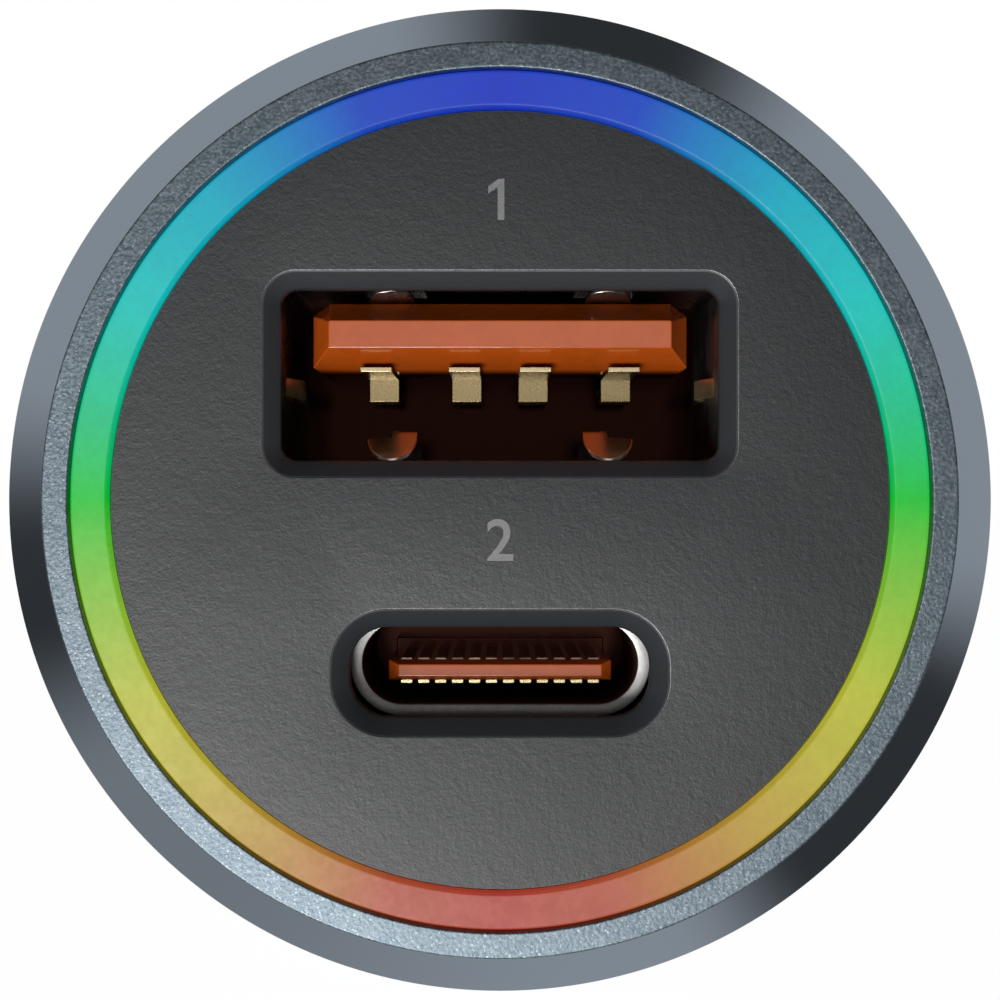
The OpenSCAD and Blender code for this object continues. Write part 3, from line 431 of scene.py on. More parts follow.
def tinted(material, *bands):
    """Blends more colours over a finish, in bands across the plug's axis: marks of between, a colour."""
    tree = material.node_tree
    shader = tree.nodes["Principled BSDF"]
    y = own_axes(tree)["Y"]
    for *marks, colour in bands:
        base = shader.inputs["Base Color"]
        connect(tree, base, blend_colours(tree, between(tree, y, *marks), base.links[0].from_socket, colour))
    return material


GOLD = ((0.62, 0.48, 0.265), (0.68, 0.535, 0.31), 1.0, (0.26, 0.31))
GOLD_WEAR = (0.72, 0.60, 0.39)

# Two tones, metallic, roughness, grain size and depth in millimetres, the colour of worn edges, lines
PLAIN_FINISHES = {
    # Lower tabs: nickel tinted warm, a painted reflection of the orange tongue
    "tab_nickel_painted_reflection": ((0.58, 0.47, 0.41), (0.64, 0.53, 0.47), 1.0, (0.20, 0.28), 0.09, 0.0015,
        (0.8, 0.76, 0.72)),
    # Nickel painted dark: painted shade for the inside of the wide port
    "nickel_sheet": ((0.25, 0.22, 0.21), (0.32, 0.29, 0.27), 1.0, (0.26, 0.36), 0.09, 0.003,
        (0.7, 0.68, 0.65)),
    "steel_sheet": ((0.40, 0.39, 0.37), (0.48, 0.47, 0.45), 0.85, (0.40, 0.5), 0.08, 0.003,
        (0.6, 0.59, 0.57)),
    "gold_contact": (*GOLD, 0.07, 0.0004, GOLD_WEAR),
    "brass_spring": ((0.80, 0.66, 0.40), (0.88, 0.74, 0.47), 1.0, (0.34, 0.44), 0.08, 0.0012,
        (0.85, 0.72, 0.5)),
    "board_green": ((0.012, 0.085, 0.040), (0.02, 0.12, 0.055), 0.0, (0.22, 0.4), 0.35, 0.01,
        (0.35, 0.42, 0.2)),
    "lamp_lens": ((0.82, 0.72, 0.36), (0.9, 0.82, 0.5), 0.0, (0.12, 0.25), 0.3, 0.004, (0.9, 0.88, 0.8)),
    "coil_grey": ((0.055, 0.055, 0.06), (0.10, 0.10, 0.105), 0.2, (0.5, 0.7), 0.1, 0.01,
        (0.2, 0.2, 0.2)),
    "can_metal": ((0.62, 0.63, 0.66), (0.74, 0.75, 0.77), 1.0, (0.2, 0.32), 0.1, 0.004,
        (0.85, 0.85, 0.86)),
    "chip_black": ((0.012, 0.012, 0.013), (0.022, 0.022, 0.024), 0.0, (0.42, 0.6), 0.09, 0.008,
        (0.07, 0.07, 0.07)),
    "ceramic": ((0.60, 0.52, 0.40), (0.70, 0.64, 0.54), 0.0, (0.3, 0.5), 0.12, 0.006, (0.85, 0.83, 0.8)),
    "carrier_plastic": ((0.020, 0.020, 0.022), (0.034, 0.034, 0.036), 0.0, (0.4, 0.55), 0.14, 0.008,
        (0.1, 0.1, 0.1)),
    "spring_steel": ((0.60, 0.60, 0.58), (0.70, 0.70, 0.68), 1.0, (0.18, 0.3), 0.12, 0.003,
        (0.82, 0.82, 0.8)),
    "tip_nickel": ((0.62, 0.60, 0.56), (0.72, 0.70, 0.66), 1.0, (0.14, 0.28), 0.15, 0.003,
        (0.85, 0.84, 0.8), 6000.0),
    "nose_plastic": ((0.014, 0.014, 0.015), (0.026, 0.026, 0.028), 0.0, (0.36, 0.52), 0.16, 0.010,
        (0.09, 0.09, 0.09)),
    "print_grey": ((0.19, 0.19, 0.195), (0.235, 0.235, 0.24), 0.0, (0.45, 0.6), 0.06, 0.003),
}
FINISHES = {name: plain_finish(name, *values) for name, values in PLAIN_FINISHES.items()}
FINISHES.update(body_metal=body_metal_finish(), light_guide=light_guide_finish(),
                plate_plastic=plate_finish(), orange_plastic=orange_finish(), oval_steel=oval_steel_finish())

# The wide port's blades: thin gold, with painted shade darkening their step and their undersides
FINISHES["blade_gold"] = tinted(
    plain_finish("blade_gold", *GOLD, 1 / 14, 0.0004, GOLD_WEAR),
    (-9.98, -9.94, -9.75, -9.71, (0.30, 0.23, 0.12)), (-13.80, -13.60, -10.02, -9.98, (0.15, 0.108, 0.052)))

# The oval port's upper contacts: gold painted dark reddish brown as painted shade, lighter and warmer behind
# their ends
FINISHES["gold_in_painted_shade"] = tinted(
    plain_finish("gold_in_painted_shade", (0.065, 0.034, 0.025), (0.09, 0.050, 0.038), 1.0, (0.34, 0.42), 0.07, 0.0006,
                 (0.26, 0.17, 0.13)),
    (-12.62, -12.50, 0.0, 1.0, (0.45, 0.22, 0.17)))


# Mesh helpers

def at(x, up, out):
    """A point from its place on the face and its distance forward from the shoulder, all in millimetres."""
    return Vector((x, -out, up)) * MM


def shade_smooth(mesh, sharp):
    """Shades curves smooth and corners sharp."""
    mesh.polygons.foreach_set("use_smooth", [True] * len(mesh.polygons))
    mesh.set_sharp_from_angle(angle=math.radians(sharp))


def finished_piece(name, bm, material, body="plug", replaces=(), sharp=SHARP, recalc=True):
    """Turns a bmesh into a piece with smooth curves and sharp edges, and gives it to its body."""
    if recalc:
        bmesh.ops.recalc_face_normals(bm, faces=bm.faces)
    mesh = bpy.data.meshes.new(name)
    bm.to_mesh(mesh)
    bm.free()
    shade_smooth(mesh, sharp)
    mesh.materials.append(FINISHES[material])
    piece = add_object(name, mesh)
    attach(piece, body)
    for node in replaces:
        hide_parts(node)
    return piece


def rounded(corners, steps=4, hold=0.03):
    """A closed outline of corners (a, b, radius): arcs, and a point on each straight just beside them."""
    points = []
    for i, (a, b, radius) in enumerate(corners):
        corner = Vector((a, b))
        back = Vector(corners[i - 1][:2]) - corner
        ahead = Vector(corners[(i + 1) % len(corners)][:2]) - corner
        if radius <= 0:
            points.append(corner)
            continue
        half = back.angle(ahead) / 2
        reach = radius / math.tan(half)
        start = corner + back.normalized() * reach
        end = corner + ahead.normalized() * reach
        centre = corner + (back.normalized() + ahead.normalized()).normalized() * (radius / math.sin(half))
        if back.length > 3 * (reach + hold):
            points.append(start + back.normalized() * hold)
        u, v = start - centre, end - centre
        sweep = u.angle(v)
        for k in range(steps + 1):
            t = k / steps
            arm = u * math.sin((1 - t) * sweep) + v * math.sin(t * sweep)
            points.append(centre + arm / math.sin(sweep))
        if ahead.length > 3 * (reach + hold):
            points.append(end + ahead.normalized() * hold)
    return points


def lathe(outline, segments):
    """Turns a closed outline of (radius, out) round the plug's axis."""
    bm = bmesh.new()
    rows = []
    for s in range(segments):
        a = 2 * math.pi * s / segments
        rows.append([bm.verts.new(at(p[0] * math.cos(a), p[0] * math.sin(a), p[1])) for p in outline])
    count = len(outline)
    for s in range(segments):
        near, far = rows[s], rows[(s + 1) % segments]
        for k in range(count):
            n = (k + 1) % count
            if outline[k][0] < 1e-6 and outline[n][0] < 1e-6:
                continue
            bm.faces.new((near[k], near[n], far[n], far[k]))
    bmesh.ops.remove_doubles(bm, verts=bm.verts, dist=1e-8)
    return bm


def round_rect(opening, out, grow=0.0, per_corner=10):
    """Points round an opening of width, height, corner radius and middle height, seen from the front."""
    w, h, r, middle = opening
    w, h, r = w + 2 * grow, h + 2 * grow, max(r + grow, 0.001)
    points = []
    for cx, cy, start in ((1, 1, 0), (-1, 1, 90), (-1, -1, 180), (1, -1, 270)):
        for k in range(per_corner + 1):
            a = math.radians(start + 90 * k / per_corner)
            points.append(at(cx * (w / 2 - r) + r * math.cos(a),
                             middle + cy * (h / 2 - r) + r * math.sin(a), out))
    return points


def circle(r, out, x=0.0, up=0.0, segments=256):
    turns = [2 * math.pi * k / segments for k in range(segments)]
    return [at(x + r * math.cos(a), up + r * math.sin(a), out) for a in turns]


def wall(bm, near, far):
    """Joins two loops of vertices with faces."""
    for k in range(len(near)):
        n = (k + 1) % len(near)
        bm.faces.new((near[k], near[n], far[n], far[k]))


def loft(bm, loops):
    """Joins loops of equal length with walls; returns the first and last loops' vertices."""
    rows = [[bm.verts.new(p) for p in loop] for loop in loops]
    for near, far in zip(rows, rows[1:]):
        wall(bm, near, far)
    return rows[0], rows[-1]


def solid_loft(bm, loops):
    """Joins loops with walls and closes both ends."""
    for end in loft(bm, loops):
        bm.faces.new(end)


def closed_loft(bm, loops):
    """Joins loops with walls and joins the last to the first, as a tube with a wall of its own."""
    wall(bm, *loft(bm, loops))


def loop_edges(bm, verts):
    pairs = zip(verts, verts[1:] + verts[:1])
    return [bm.edges.get(pair) or bm.edges.new(pair) for pair in pairs]


def add_box(bm, low, high):
    """Adds a box between two corners in millimetres of (x, up, out)."""
    a, b = at(*low), at(*high)
    for v in bmesh.ops.create_cube(bm, size=1.0)["verts"]:
        v.co = Vector([(a[i] + b[i]) / 2 + v.co[i] * abs(b[i] - a[i]) for i in range(3)])


def inside(point, verts):
    """True where a point lies within a convex loop, both seen from the front."""
    turns = []
    for k, v in enumerate(verts):
        ahead = verts[(k + 1) % len(verts)].co - v.co
        turns.append(ahead.x * (point.z - v.co.z) - ahead.z * (point.x - v.co.x) > 0)
    return all(turns) or not any(turns)


def fill_between(bm, outer, *holes):
    """Fills the flat area between an outer loop and the convex loops inside it."""
    edges = [edge for verts in (outer, *holes) for edge in loop_edges(bm, verts)]
    made = bmesh.ops.triangle_fill(bm, use_beauty=True, use_dissolve=False, edges=edges)["geom"]
    covers = [face for face in made if isinstance(face, bmesh.types.BMFace)
              and any(inside(face.calc_center_median(), hole) for hole in holes)]
    bmesh.ops.delete(bm, geom=covers, context="FACES_ONLY")


def cut_boxes(piece, boxes):
    """Cuts boxes, each two corners in millimetres of (x, up, out), out of a piece's mesh."""
    bm = bmesh.new()
    for low, high in boxes:
        add_box(bm, low, high)
    mesh = bpy.data.meshes.new("cutter")
    bm.to_mesh(mesh)
    bm.free()
    cutter = add_object("cutter", mesh)
    cut = piece.modifiers.new("cut", "BOOLEAN")
    cut.operation, cut.object, cut.solver = "DIFFERENCE", cutter, "EXACT"
    settle(piece)
    bpy.data.objects.remove(cutter)
    bpy.data.meshes.remove(mesh)


def plain_mesh(piece):
    """A new mesh of a piece as its modifiers make it."""
    bpy.context.view_layer.update()
    return bpy.data.meshes.new_from_object(piece.evaluated_get(bpy.context.evaluated_depsgraph_get()))


def joined(mesh, apart=1e-8):
    """A bmesh of a mesh, with points that coincide joined."""
    bm = bmesh.new()
    bm.from_mesh(mesh)
    bmesh.ops.remove_doubles(bm, verts=bm.verts, dist=apart)
    return bm


def baked(piece):
    """Puts a piece's modifiers into its mesh."""
    done = plain_mesh(piece)
    piece.modifiers.clear()
    old = piece.data
    piece.data = done
    bpy.data.meshes.remove(old)
    done.name = piece.name


def settle(piece):
    """Puts the modifiers into the mesh, then shades it again."""
    baked(piece)
    shade_smooth(piece.data, SHARP)


def soften(piece, edge_mm, segments, angle=40.0, flat=False):
    """Rounds a piece's sharp edges by a small radius; flat keeps its large faces truly flat."""
    bevel = piece.modifiers.new("edges", "BEVEL")
    bevel.width = edge_mm * MM
    bevel.segments = segments
    bevel.limit_method = "ANGLE"
    bevel.angle_limit = math.radians(angle)
    bevel.use_clamp_overlap = True
    bevel.harden_normals = flat
    if flat:
        baked(piece)
    else:
        settle(piece)


def refined(node, material, body, edge_mm, aside=0.0):
    """A CAD piece with its flat facets joined, its curves shaded smooth and its edges softened."""
    bm = joined(CAD[node].data, 1e-7)
    bmesh.ops.dissolve_limit(bm, angle_limit=math.radians(0.5), verts=bm.verts, edges=bm.edges)
    bmesh.ops.translate(bm, verts=bm.verts, vec=at(aside, 0, 0))
    piece = finished_piece(node + "_finished", bm, material, body, [node], recalc=False)
    soften(piece, edge_mm, 2)


# The pieces of the face and the body

def make_shell():
    """Turned head and barrel with the side springs' windows."""
    waist_r, groove_r, ring_seat = 10.1, 9.4, 11.15
    outline = rounded([
        (RING_BORE_R, RIM_OUT, 0.05), (RIM_EDGE_R, RIM_OUT, 0.07), (HEAD_R, 14.75, 0.10),
        (HEAD_R, 0.8, 0.12), (13.45, 0.0, 0.12), (BARREL_R, 0.0, 0.15), (BARREL_R, -7.5, 0.08),
        (waist_r, -7.8, 0.08), (waist_r, -23.1, 0.08), (BARREL_R, -23.4, 0.08), (BARREL_R, -28.7, 0.06),
        (waist_r, BARREL_END, 0.06), (BORE_R, BARREL_END, 0.06), (BORE_R, SNAP_OUT - 0.25, 0.0),
        (groove_r, SNAP_OUT - 0.25, 0.0), (groove_r, SNAP_OUT + 0.25, 0.0), (BORE_R, SNAP_OUT + 0.25, 0.0),
        (BORE_R, 2.0, 0.1), (11.6, 2.0, 0.1), (11.6, ring_seat, 0.05), (RING_BORE_R, ring_seat, 0.05)])
    piece = finished_piece("shell_turned", lathe(outline, 256), "body_metal", replaces=["shell"])
    cut_boxes(piece, [((side * 5, -2.1, SPRING_OUT - 5.7), (side * 16, 2.1, SPRING_OUT + 5.7))
                      for side in (-1, 1)])


def make_light_ring():
    """Clear guide: a flat in front, an inner bevel and the ledge under the face plate."""
    foot_r, foot, back = LEDGE_R + 0.4, 11.95, 12.5
    outline = rounded([
        (RING_R, back, 0.0), (RING_R, RING_OUT, 0.07), (RING_FLAT_R, RING_OUT, 0.05),
        (RING_EYE_R, FACE_OUT, 0.03), (RING_EYE_R, PLATE_BACK, 0.0), (LEDGE_R, PLATE_BACK, 0.05),
        (LEDGE_R, foot, 0.0), (foot_r, foot, 0.0), (foot_r, back, 0.0)])
    finished_piece("light_ring_guide", lathe(outline, 256), "light_guide", replaces=["light_ring"])


def port_loops(opening, bevel, shell):
    """Loops from a port's rounded front edge down its bevel and lip to the shell's pocket."""
    soft = 0.1
    sizes = []
    for k in range(6):
        a = math.radians(45 * k / 5)
        sizes.append((bevel + soft * math.tan(math.radians(22.5)) - soft * math.sin(a),
                      FACE_OUT - soft * (1 - math.cos(a))))
    sizes += [(bevel - 0.1, FACE_OUT - 0.1), (0.06, FACE_OUT - bevel + 0.06),
              (0.02, FACE_OUT - bevel + 0.015), (0.0, FACE_OUT - bevel - 0.03), (0.0, LIP_BACK)]
    return ([round_rect(opening, out, grow) for grow, out in sizes]
            + [round_rect(shell, out, SHEET + FIT) for out in (LIP_BACK, PLATE_BACK)])


def make_face_plate():
    """The plate's flat front with its two openings."""
    bm = bmesh.new()
    soft = 0.06
    edge = [circle(PLATE_R - soft + soft * math.sin(math.radians(a)),
                   FACE_OUT - soft + soft * math.cos(math.radians(a))) for a in (0, 22, 45, 68, 90)]
    front, back = loft(bm, [circle(PLATE_R - soft - 0.03, FACE_OUT), *edge, circle(PLATE_R, PLATE_BACK)])
    wide = loft(bm, port_loops((12.6, 4.92, 0.45, 3.6), 0.50, WIDE_SHELL))
    oval = loft(bm, port_loops((8.64, 2.58, 1.1, -4.95), 0.54, OVAL_SHELL))
    fill_between(bm, front, wide[0], oval[0])
    fill_between(bm, back, wide[1], oval[1])
    finished_piece("face_plate_moulded", bm, "plate_plastic", replaces=["face_plate"])


def make_plate_back():
    """Skirt, port collars and posts on the back of the face plate."""
    bm = bmesh.new()
    skirt_r = LEDGE_R - FIT
    closed_loft(bm, [circle(skirt_r, PLATE_BACK), circle(skirt_r, SKIRT_OUT),
                     circle(skirt_r - 0.8, SKIRT_OUT), circle(skirt_r - 0.8, PLATE_BACK)])
    pocket = SHEET + FIT
    collar = pocket + 0.7
    for shell in (WIDE_SHELL, OVAL_SHELL):
        closed_loft(bm, [round_rect(shell, out, grow) for grow, out in (
            (pocket, PLATE_BACK), (pocket, SKIRT_OUT), (collar, SKIRT_OUT), (collar, PLATE_BACK))])
    for side in (-1, 1):
        for x, up in ((8.1, -0.6), (6.4, -5.6)):
            solid_loft(bm, [circle(r, out, side * x, up, 32) for r, out in (
                (1.1, PLATE_BACK), (1.1, PORT_BOARD), (0.6, PORT_BOARD), (0.6, PORT_BOARD_BACK))])
    finished_piece("face_plate_skirt", bm, "plate_plastic")


def tongue_loop(half_w, half_t, cut_x, cut_y, middle, out):
    """Outline of the wide tongue: a rectangle with its two upper corners cut."""
    points = [(-half_w, -half_t), (half_w, -half_t), (half_w, half_t - cut_y),
              (half_w - cut_x, half_t), (cut_x - half_w, half_t), (-half_w, half_t - cut_y)]
    return [at(x, middle + up, out) for x, up in points]


def make_wide_tongue():
    """Bevelled orange tongue with the block behind it."""
    bm = bmesh.new()
    front = FACE_OUT - 1.0
    full = (5.533, WIDE_TONGUE_HALF, 0.50, 0.39, WIDE_TONGUE_UP)
    solid_loft(bm, [tongue_loop(4.995, 0.40, 0.04, 0.03, WIDE_TONGUE_UP - 0.035, front),
                    tongue_loop(*full, front - 1.12), tongue_loop(*full, PORT_BOARD + 1.9)])
    solid_loft(bm, [round_rect((12.75, 5.3, 0.3, 3.72), out) for out in (PORT_BOARD + 2, PORT_BOARD)])
    piece = finished_piece("wide_port_tongue", bm, "orange_plastic", replaces=["usb_a_tongue"])
    soften(piece, 0.06, 4, 25.0, flat=True)


def make_wide_contacts():
    """Four gold blades: flat under the tongue, then bowed down where a plug's pads touch them."""
    under, half_wide, sheet = WIDE_TONGUE_UP - WIDE_TONGUE_HALF, 0.465, 0.14
    path = [(1.55, 0.0), (5.60, 0.0), (5.63, 0.05), (5.75, 0.05), (5.79, -0.66), (5.82, -0.72),
            (6.9, -0.72), (7.2, -0.64), (8.0, -0.36), (8.3, -0.30), (FACE_OUT - PORT_BOARD + 1.2, -0.30)]
    for number, x in enumerate((-3.645, -1.045, 1.045, 3.645), 1):
        bm = bmesh.new()
        rows = [[at(x + side * half_wide, under + fall + lift, FACE_OUT - depth)
                 for side, lift in ((-1, 0.0), (1, 0.0), (1, -sheet), (-1, -sheet))]
                for depth, fall in path]
        for row in rows[3:6]:
            for point in row[:2]:
                point.y += 0.7 * sheet * MM
        solid_loft(bm, rows)
        piece = finished_piece(f"wide_port_contact_{number}", bm, "blade_gold",
                               replaces=[f"usb_a_contact_{number}"])
        soften(piece, 0.02, 3, 20.0, flat=True)


def tube(bm, opening, front, sheet, soft, dish=0.0):
    """Sheet tube up from the port board; soft rounds its front rim's edges, dish sinks the inner one."""
    turns = [math.radians(a) for a in (0, 30, 60, 90)]
    sizes = [(0.0, PORT_BOARD)]
    sizes += [(soft * (1 - math.cos(a)), front - dish - soft + soft * math.sin(a)) for a in turns]
    sizes += [(sheet - soft + soft * math.sin(a), front - soft + soft * math.cos(a)) for a in turns]
    sizes.append((sheet, PORT_BOARD))
    closed_loft(bm, [round_rect(opening, out, grow, 14) for grow, out in sizes])


def add_legs(bm, away, low, high):
    """Adds the two legs that hold a port's shell in its board."""
    for x in (-away, away):
        add_box(bm, (x - 0.15, low, PORT_BOARD_BACK - 1), (x + 0.15, high, PORT_BOARD + 0.1))


def bowed_centre(bow, sag, steps, tail):
    """Points of (depth behind the front, height) along a strip that bows out and ends in a flat tail."""
    radius = ((bow / 2) ** 2 + sag ** 2) / (2 * sag)
    half = math.asin(bow / 2 / radius)
    turns = [-half + 2 * half * k / steps for k in range(steps + 1)]
    return [*((bow / 2 + radius * math.sin(a), radius * math.cos(a) - (radius - sag)) for a in turns),
            (bow + tail, 0.0)]


def ramped_centre(run, rise, bow, tail):
    """Such points along a strip with a straight ramp, a bend and a long fall."""
    return [*((run * k / 16, rise * k / 16) for k in range(17)),
            (run + 0.12, rise + 0.04), (run + 0.45, rise + 0.04), (bow, 0.0), (bow + tail, 0.0)]


def retention_tab(bm, x, base, flip, w, path, front, outer):
    """Sheet tab with a round free end, bent into the port; outer is how long its outer half is."""
    sheet = 0.12
    rows = []
    for depth, height in path:
        right = w / 2
        if depth < w / 2:
            right = math.sqrt(max(0.0, (w / 2) ** 2 - (w / 2 - depth) ** 2))
        left = -right
        if depth > outer:
            left, right = (left, 0.0) if x > 0 else (0.0, right)
        rows.append([at(x + across, base + flip * up, front - depth) for across, up in (
            (left, height), (right, height), (right, height - sheet), (left, height - sheet))])
    solid_loft(bm, rows)


def make_wide_shell():
    """Nickel-plated shell of the wide port with its four retention tabs and two legs."""
    bm = bmesh.new()
    tube(bm, (12.62, 5.14, 0.3, 3.72), LIP_BACK - FIT, SHEET - 0.02, 0.04)
    add_legs(bm, 6.4, 3.22, 4.22)
    piece = finished_piece("wide_port_shell", bm, "nickel_sheet", replaces=["usb_a_shell"])
    tab_front = FACE_OUT - 1.5
    cut_boxes(piece, [((x - half, low, tab_front - long), (x + half, high, tab_front + 0.25))
                      for x in (-TAB_X, TAB_X)
                      for half, low, high, long in ((0.975, 0.9, 1.3, 5.75), (0.925, 6.1, 6.7, 3.45))])
    for word, material, base, flip, width, path, outer in (
            ("lower", "tab_nickel_painted_reflection", 1.21, 1, 1.5, ramped_centre(0.92, 0.81, 5.5, 0.9), 0.70),
            ("upper", "nickel_sheet", 6.13, -1, 1.35, bowed_centre(3.2, 0.36, 22, 0.9), 9.0)):
        bm = bmesh.new()
        for x in (-TAB_X, TAB_X):
            retention_tab(bm, x, base, flip, width, path, tab_front, outer)
        bmesh.ops.remove_doubles(bm, verts=bm.verts, dist=1e-8)
        tabs = finished_piece(f"wide_port_{word}_tabs", bm, material)
        soften(tabs, 0.035, 3, 50.0, flat=True)


def make_oval_shell():
    """Drawn steel shell of the oval port with its two legs."""
    bm = bmesh.new()
    tube(bm, (8.17, 2.46, 1.22, -4.82), FACE_OUT - 2.0, 0.345, 0.02, 0.022)
    add_legs(bm, 4.32, -5.37, -4.37)
    finished_piece("oval_port_shell", bm, "oval_steel", replaces=["usb_c_shell"])


def make_oval_tongue():
    """Thin orange tongue with a bevelled front, its stepped root and its block."""
    bm = bmesh.new()
    front, wide, half, root = FACE_OUT - 2.6, 3.345, OVAL_TONGUE_HALF, PORT_BOARD + 1.5
    for levels in ([(3.045, 0.18, front), (wide, half, front - 0.3), (wide, half, root)],
                   [(wide, 0.65, PORT_BOARD + 2.8), (wide, 0.65, root)]):
        solid_loft(bm, [[at(x * w, OVAL_TONGUE_UP + up * h, out) for x, up in SQUARE]
                        for w, h, out in levels])
    solid_loft(bm, [round_rect((8.19, 2.48, 1.23, -4.82), out) for out in (PORT_BOARD + 1.6, PORT_BOARD)])
    piece = finished_piece("oval_port_tongue", bm, "orange_plastic", replaces=["usb_c_tongue"])
    soften(piece, 0.035, 4, 15.0, flat=True)


def make_nose_cap():
    """Moulded nose with the tip's seat; its rear snaps into the barrel."""
    body_r, neck_r, bore = BARREL_R - 0.1, 9.15, BARREL_END - 1
    outline = rounded([
        (8.2, CARRIER_END, 0.05), (neck_r, CARRIER_END, 0.1), (neck_r, SNAP_OUT + 0.2, 0.0),
        (9.3, SNAP_OUT + 0.15, 0.0), (9.3, SNAP_OUT - 0.15, 0.0), (neck_r, SNAP_OUT - 0.2, 0.0),
        (neck_r, BARREL_END, 0.03), (body_r, BARREL_END, 0.12), (body_r, BARREL_END - 1.5, 0.4),
        (7.8, NOSE_END + 1, 0.5), (6.8, NOSE_END, 0.35), (3.3, NOSE_END, 0.05), (3.0, NOSE_END + 0.3, 0.05),
        (3.0, TIP_SEAT, 0.03), (4.67, TIP_SEAT, 0.1), (4.67, bore, 0.1), (8.2, bore, 0.1)], 6)
    finished_piece("nose_cap_moulded", lathe(outline, 160), "nose_plastic", replaces=["nose_cap"])


def make_tip_pin():
    """Turned tip with a domed end and a collar."""
    dome, collar_r, collar_end, stem_r, stem_end = NOSE_END - 3.4, 4.42, TIP_SEAT + 1, 2.6, TIP_SEAT + 2.2
    arc = [(1.2 + 1.72 * math.sin(math.radians(a)), dome + 1.4 * (1 - math.cos(math.radians(a))), 0.0)
           for a in range(6, 91, 7)]
    outline = rounded([(0.0, dome, 0.0), (1.2, dome, 0.0), *arc, (2.92, TIP_SEAT, 0.04),
                       (collar_r, TIP_SEAT, 0.08), (collar_r, collar_end, 0.08),
                       (stem_r, collar_end, 0.05), (stem_r, stem_end, 0.1), (0.0, stem_end, 0.0)])
    finished_piece("tip_pin_turned", lathe(outline, 96), "tip_nickel", "tip", ["tip_pin"])


def make_numbers():
    """Plain printed numbers that tell the two outlets apart: a drawn 1 and a 2 from the font."""
    bm = bmesh.new()
    outline = [(-0.04, 0.0), (0.075, 0.0), (0.075, 0.70), (-0.03, 0.70), (-0.20, 0.57), (-0.20, 0.45),
               (-0.04, 0.555)]
    solid_loft(bm, [[at(NUMBER_SIZE * x, 8.0 + NUMBER_SIZE * z, out) for x, z in outline]
                    for out in (FACE_OUT + 0.010, FACE_OUT - 0.002)])
    finished_piece("outlet_number_1", bm, "print_grey")

    curve = bpy.data.curves.new("number_2", "FONT")
    curve.body = "2"
    curve.align_x = "CENTER"
    curve.size = NUMBER_SIZE * MM
    curve.offset = 0.018 * MM
    curve.extrude = 0.006 * MM
    curve.resolution_u = 12
    loose = add_object("loose", curve)
    mesh = plain_mesh(loose)
    bpy.data.objects.remove(loose)
    bpy.data.curves.remove(curve)
    mesh.transform(Matrix.Translation(at(0, -1.72, FACE_OUT + 0.004))
                   @ Matrix.Rotation(math.radians(90), 4, "X"))
    bm = joined(mesh)
    bpy.data.meshes.remove(mesh)
    finished_piece("outlet_number_2", bm, "print_grey")


# Node trees that lay out repeats: the oval port's contacts and the tip's coil

def start_tree(name, *inputs):
    """An empty node tree; returns it, its inputs' sockets and the identifier that each label has."""
    tree = bpy.data.node_groups.new(name, "GeometryNodeTree")
    tree.interface.new_socket("Geometry", in_out="OUTPUT", socket_type="NodeSocketGeometry")
    labels = add_inputs(tree, inputs)
    return tree, tree.nodes.new("NodeGroupInput").outputs, labels


def end_tree(tree, shape, finish):
    """Makes a node tree's copies real and gives them their finish."""
    real = put(tree, "GeometryNodeRealizeInstances", Geometry=shape)
    done = put(tree, "GeometryNodeSetMaterial", Geometry=real, Material=finish)
    tree.links.new(done.outputs[0], tree.nodes.new("NodeGroupOutput").inputs[0])


def contact_row_tree():
    """A row of rounded gold blades, side by side on one face of the tongue."""
    tree, given, labels = start_tree(
        "contact_row", ("Count", "Int", 12), ("Pitch", "Float", CONTACT_PITCH * MM),
        ("Width", "Float", 0.33 * MM), ("Thickness", "Float", CONTACT_SHEET * MM),
        ("First Place", "Vector", (0, 0, 0)), ("Length", "Float", 7 * MM), ("Corner", "Float", 0.025 * MM),
        ("Finish", "Material", None))
    shift = put(tree, "ShaderNodeCombineXYZ", X=given["Pitch"])
    row = put(tree, "GeometryNodeMeshLine", {"mode": "OFFSET"}, Count=given["Count"],
              Start_Location=given["First Place"], Offset=shift)
    path_end = put(tree, "ShaderNodeCombineXYZ", Y=given["Length"])
    path = put(tree, "GeometryNodeCurvePrimitiveLine", End=path_end)
    profile = put(tree, "GeometryNodeCurvePrimitiveQuadrilateral", Width=given["Width"],
                  Height=given["Thickness"])
    soft = put(tree, "GeometryNodeFilletCurve", {"mode": "POLY"}, Curve=profile,
               Radius=given["Corner"], Count=3)
    blade = put(tree, "GeometryNodeCurveToMesh", Curve=path, Profile_Curve=soft, Fill_Caps=True)
    blades = put(tree, "GeometryNodeInstanceOnPoints", Points=row, Instance=blade)
    end_tree(tree, blades, given["Finish"])
    return tree, labels


def coil_tree():
    """A round wire that climbs in turns, lying along the plug's axis."""
    tree, given, labels = start_tree(
        "wire_coil", ("Turns", "Float", 7.0), ("Radius", "Float", 3.2 * MM),
        ("Wire Radius", "Float", 0.3 * MM), ("Rise", "Float", 8 * MM), ("Start Place", "Vector", (0, 0, 0)),
        ("Finish", "Material", None))
    path = put(tree, "GeometryNodeCurveSpiral", Resolution=40, Rotations=given["Turns"],
               Start_Radius=given["Radius"], End_Radius=given["Radius"], Height=given["Rise"])
    wire = put(tree, "GeometryNodeCurvePrimitiveCircle", Resolution=16, Radius=given["Wire Radius"])
    solid = put(tree, "GeometryNodeCurveToMesh", Curve=path, Profile_Curve=wire, Fill_Caps=True)
    placed = put(tree, "GeometryNodeTransform", Geometry=solid,
                 Translation=given["Start Place"], Rotation=(math.radians(90), 0, 0))
    end_tree(tree, placed, given["Finish"])
    return tree, labels


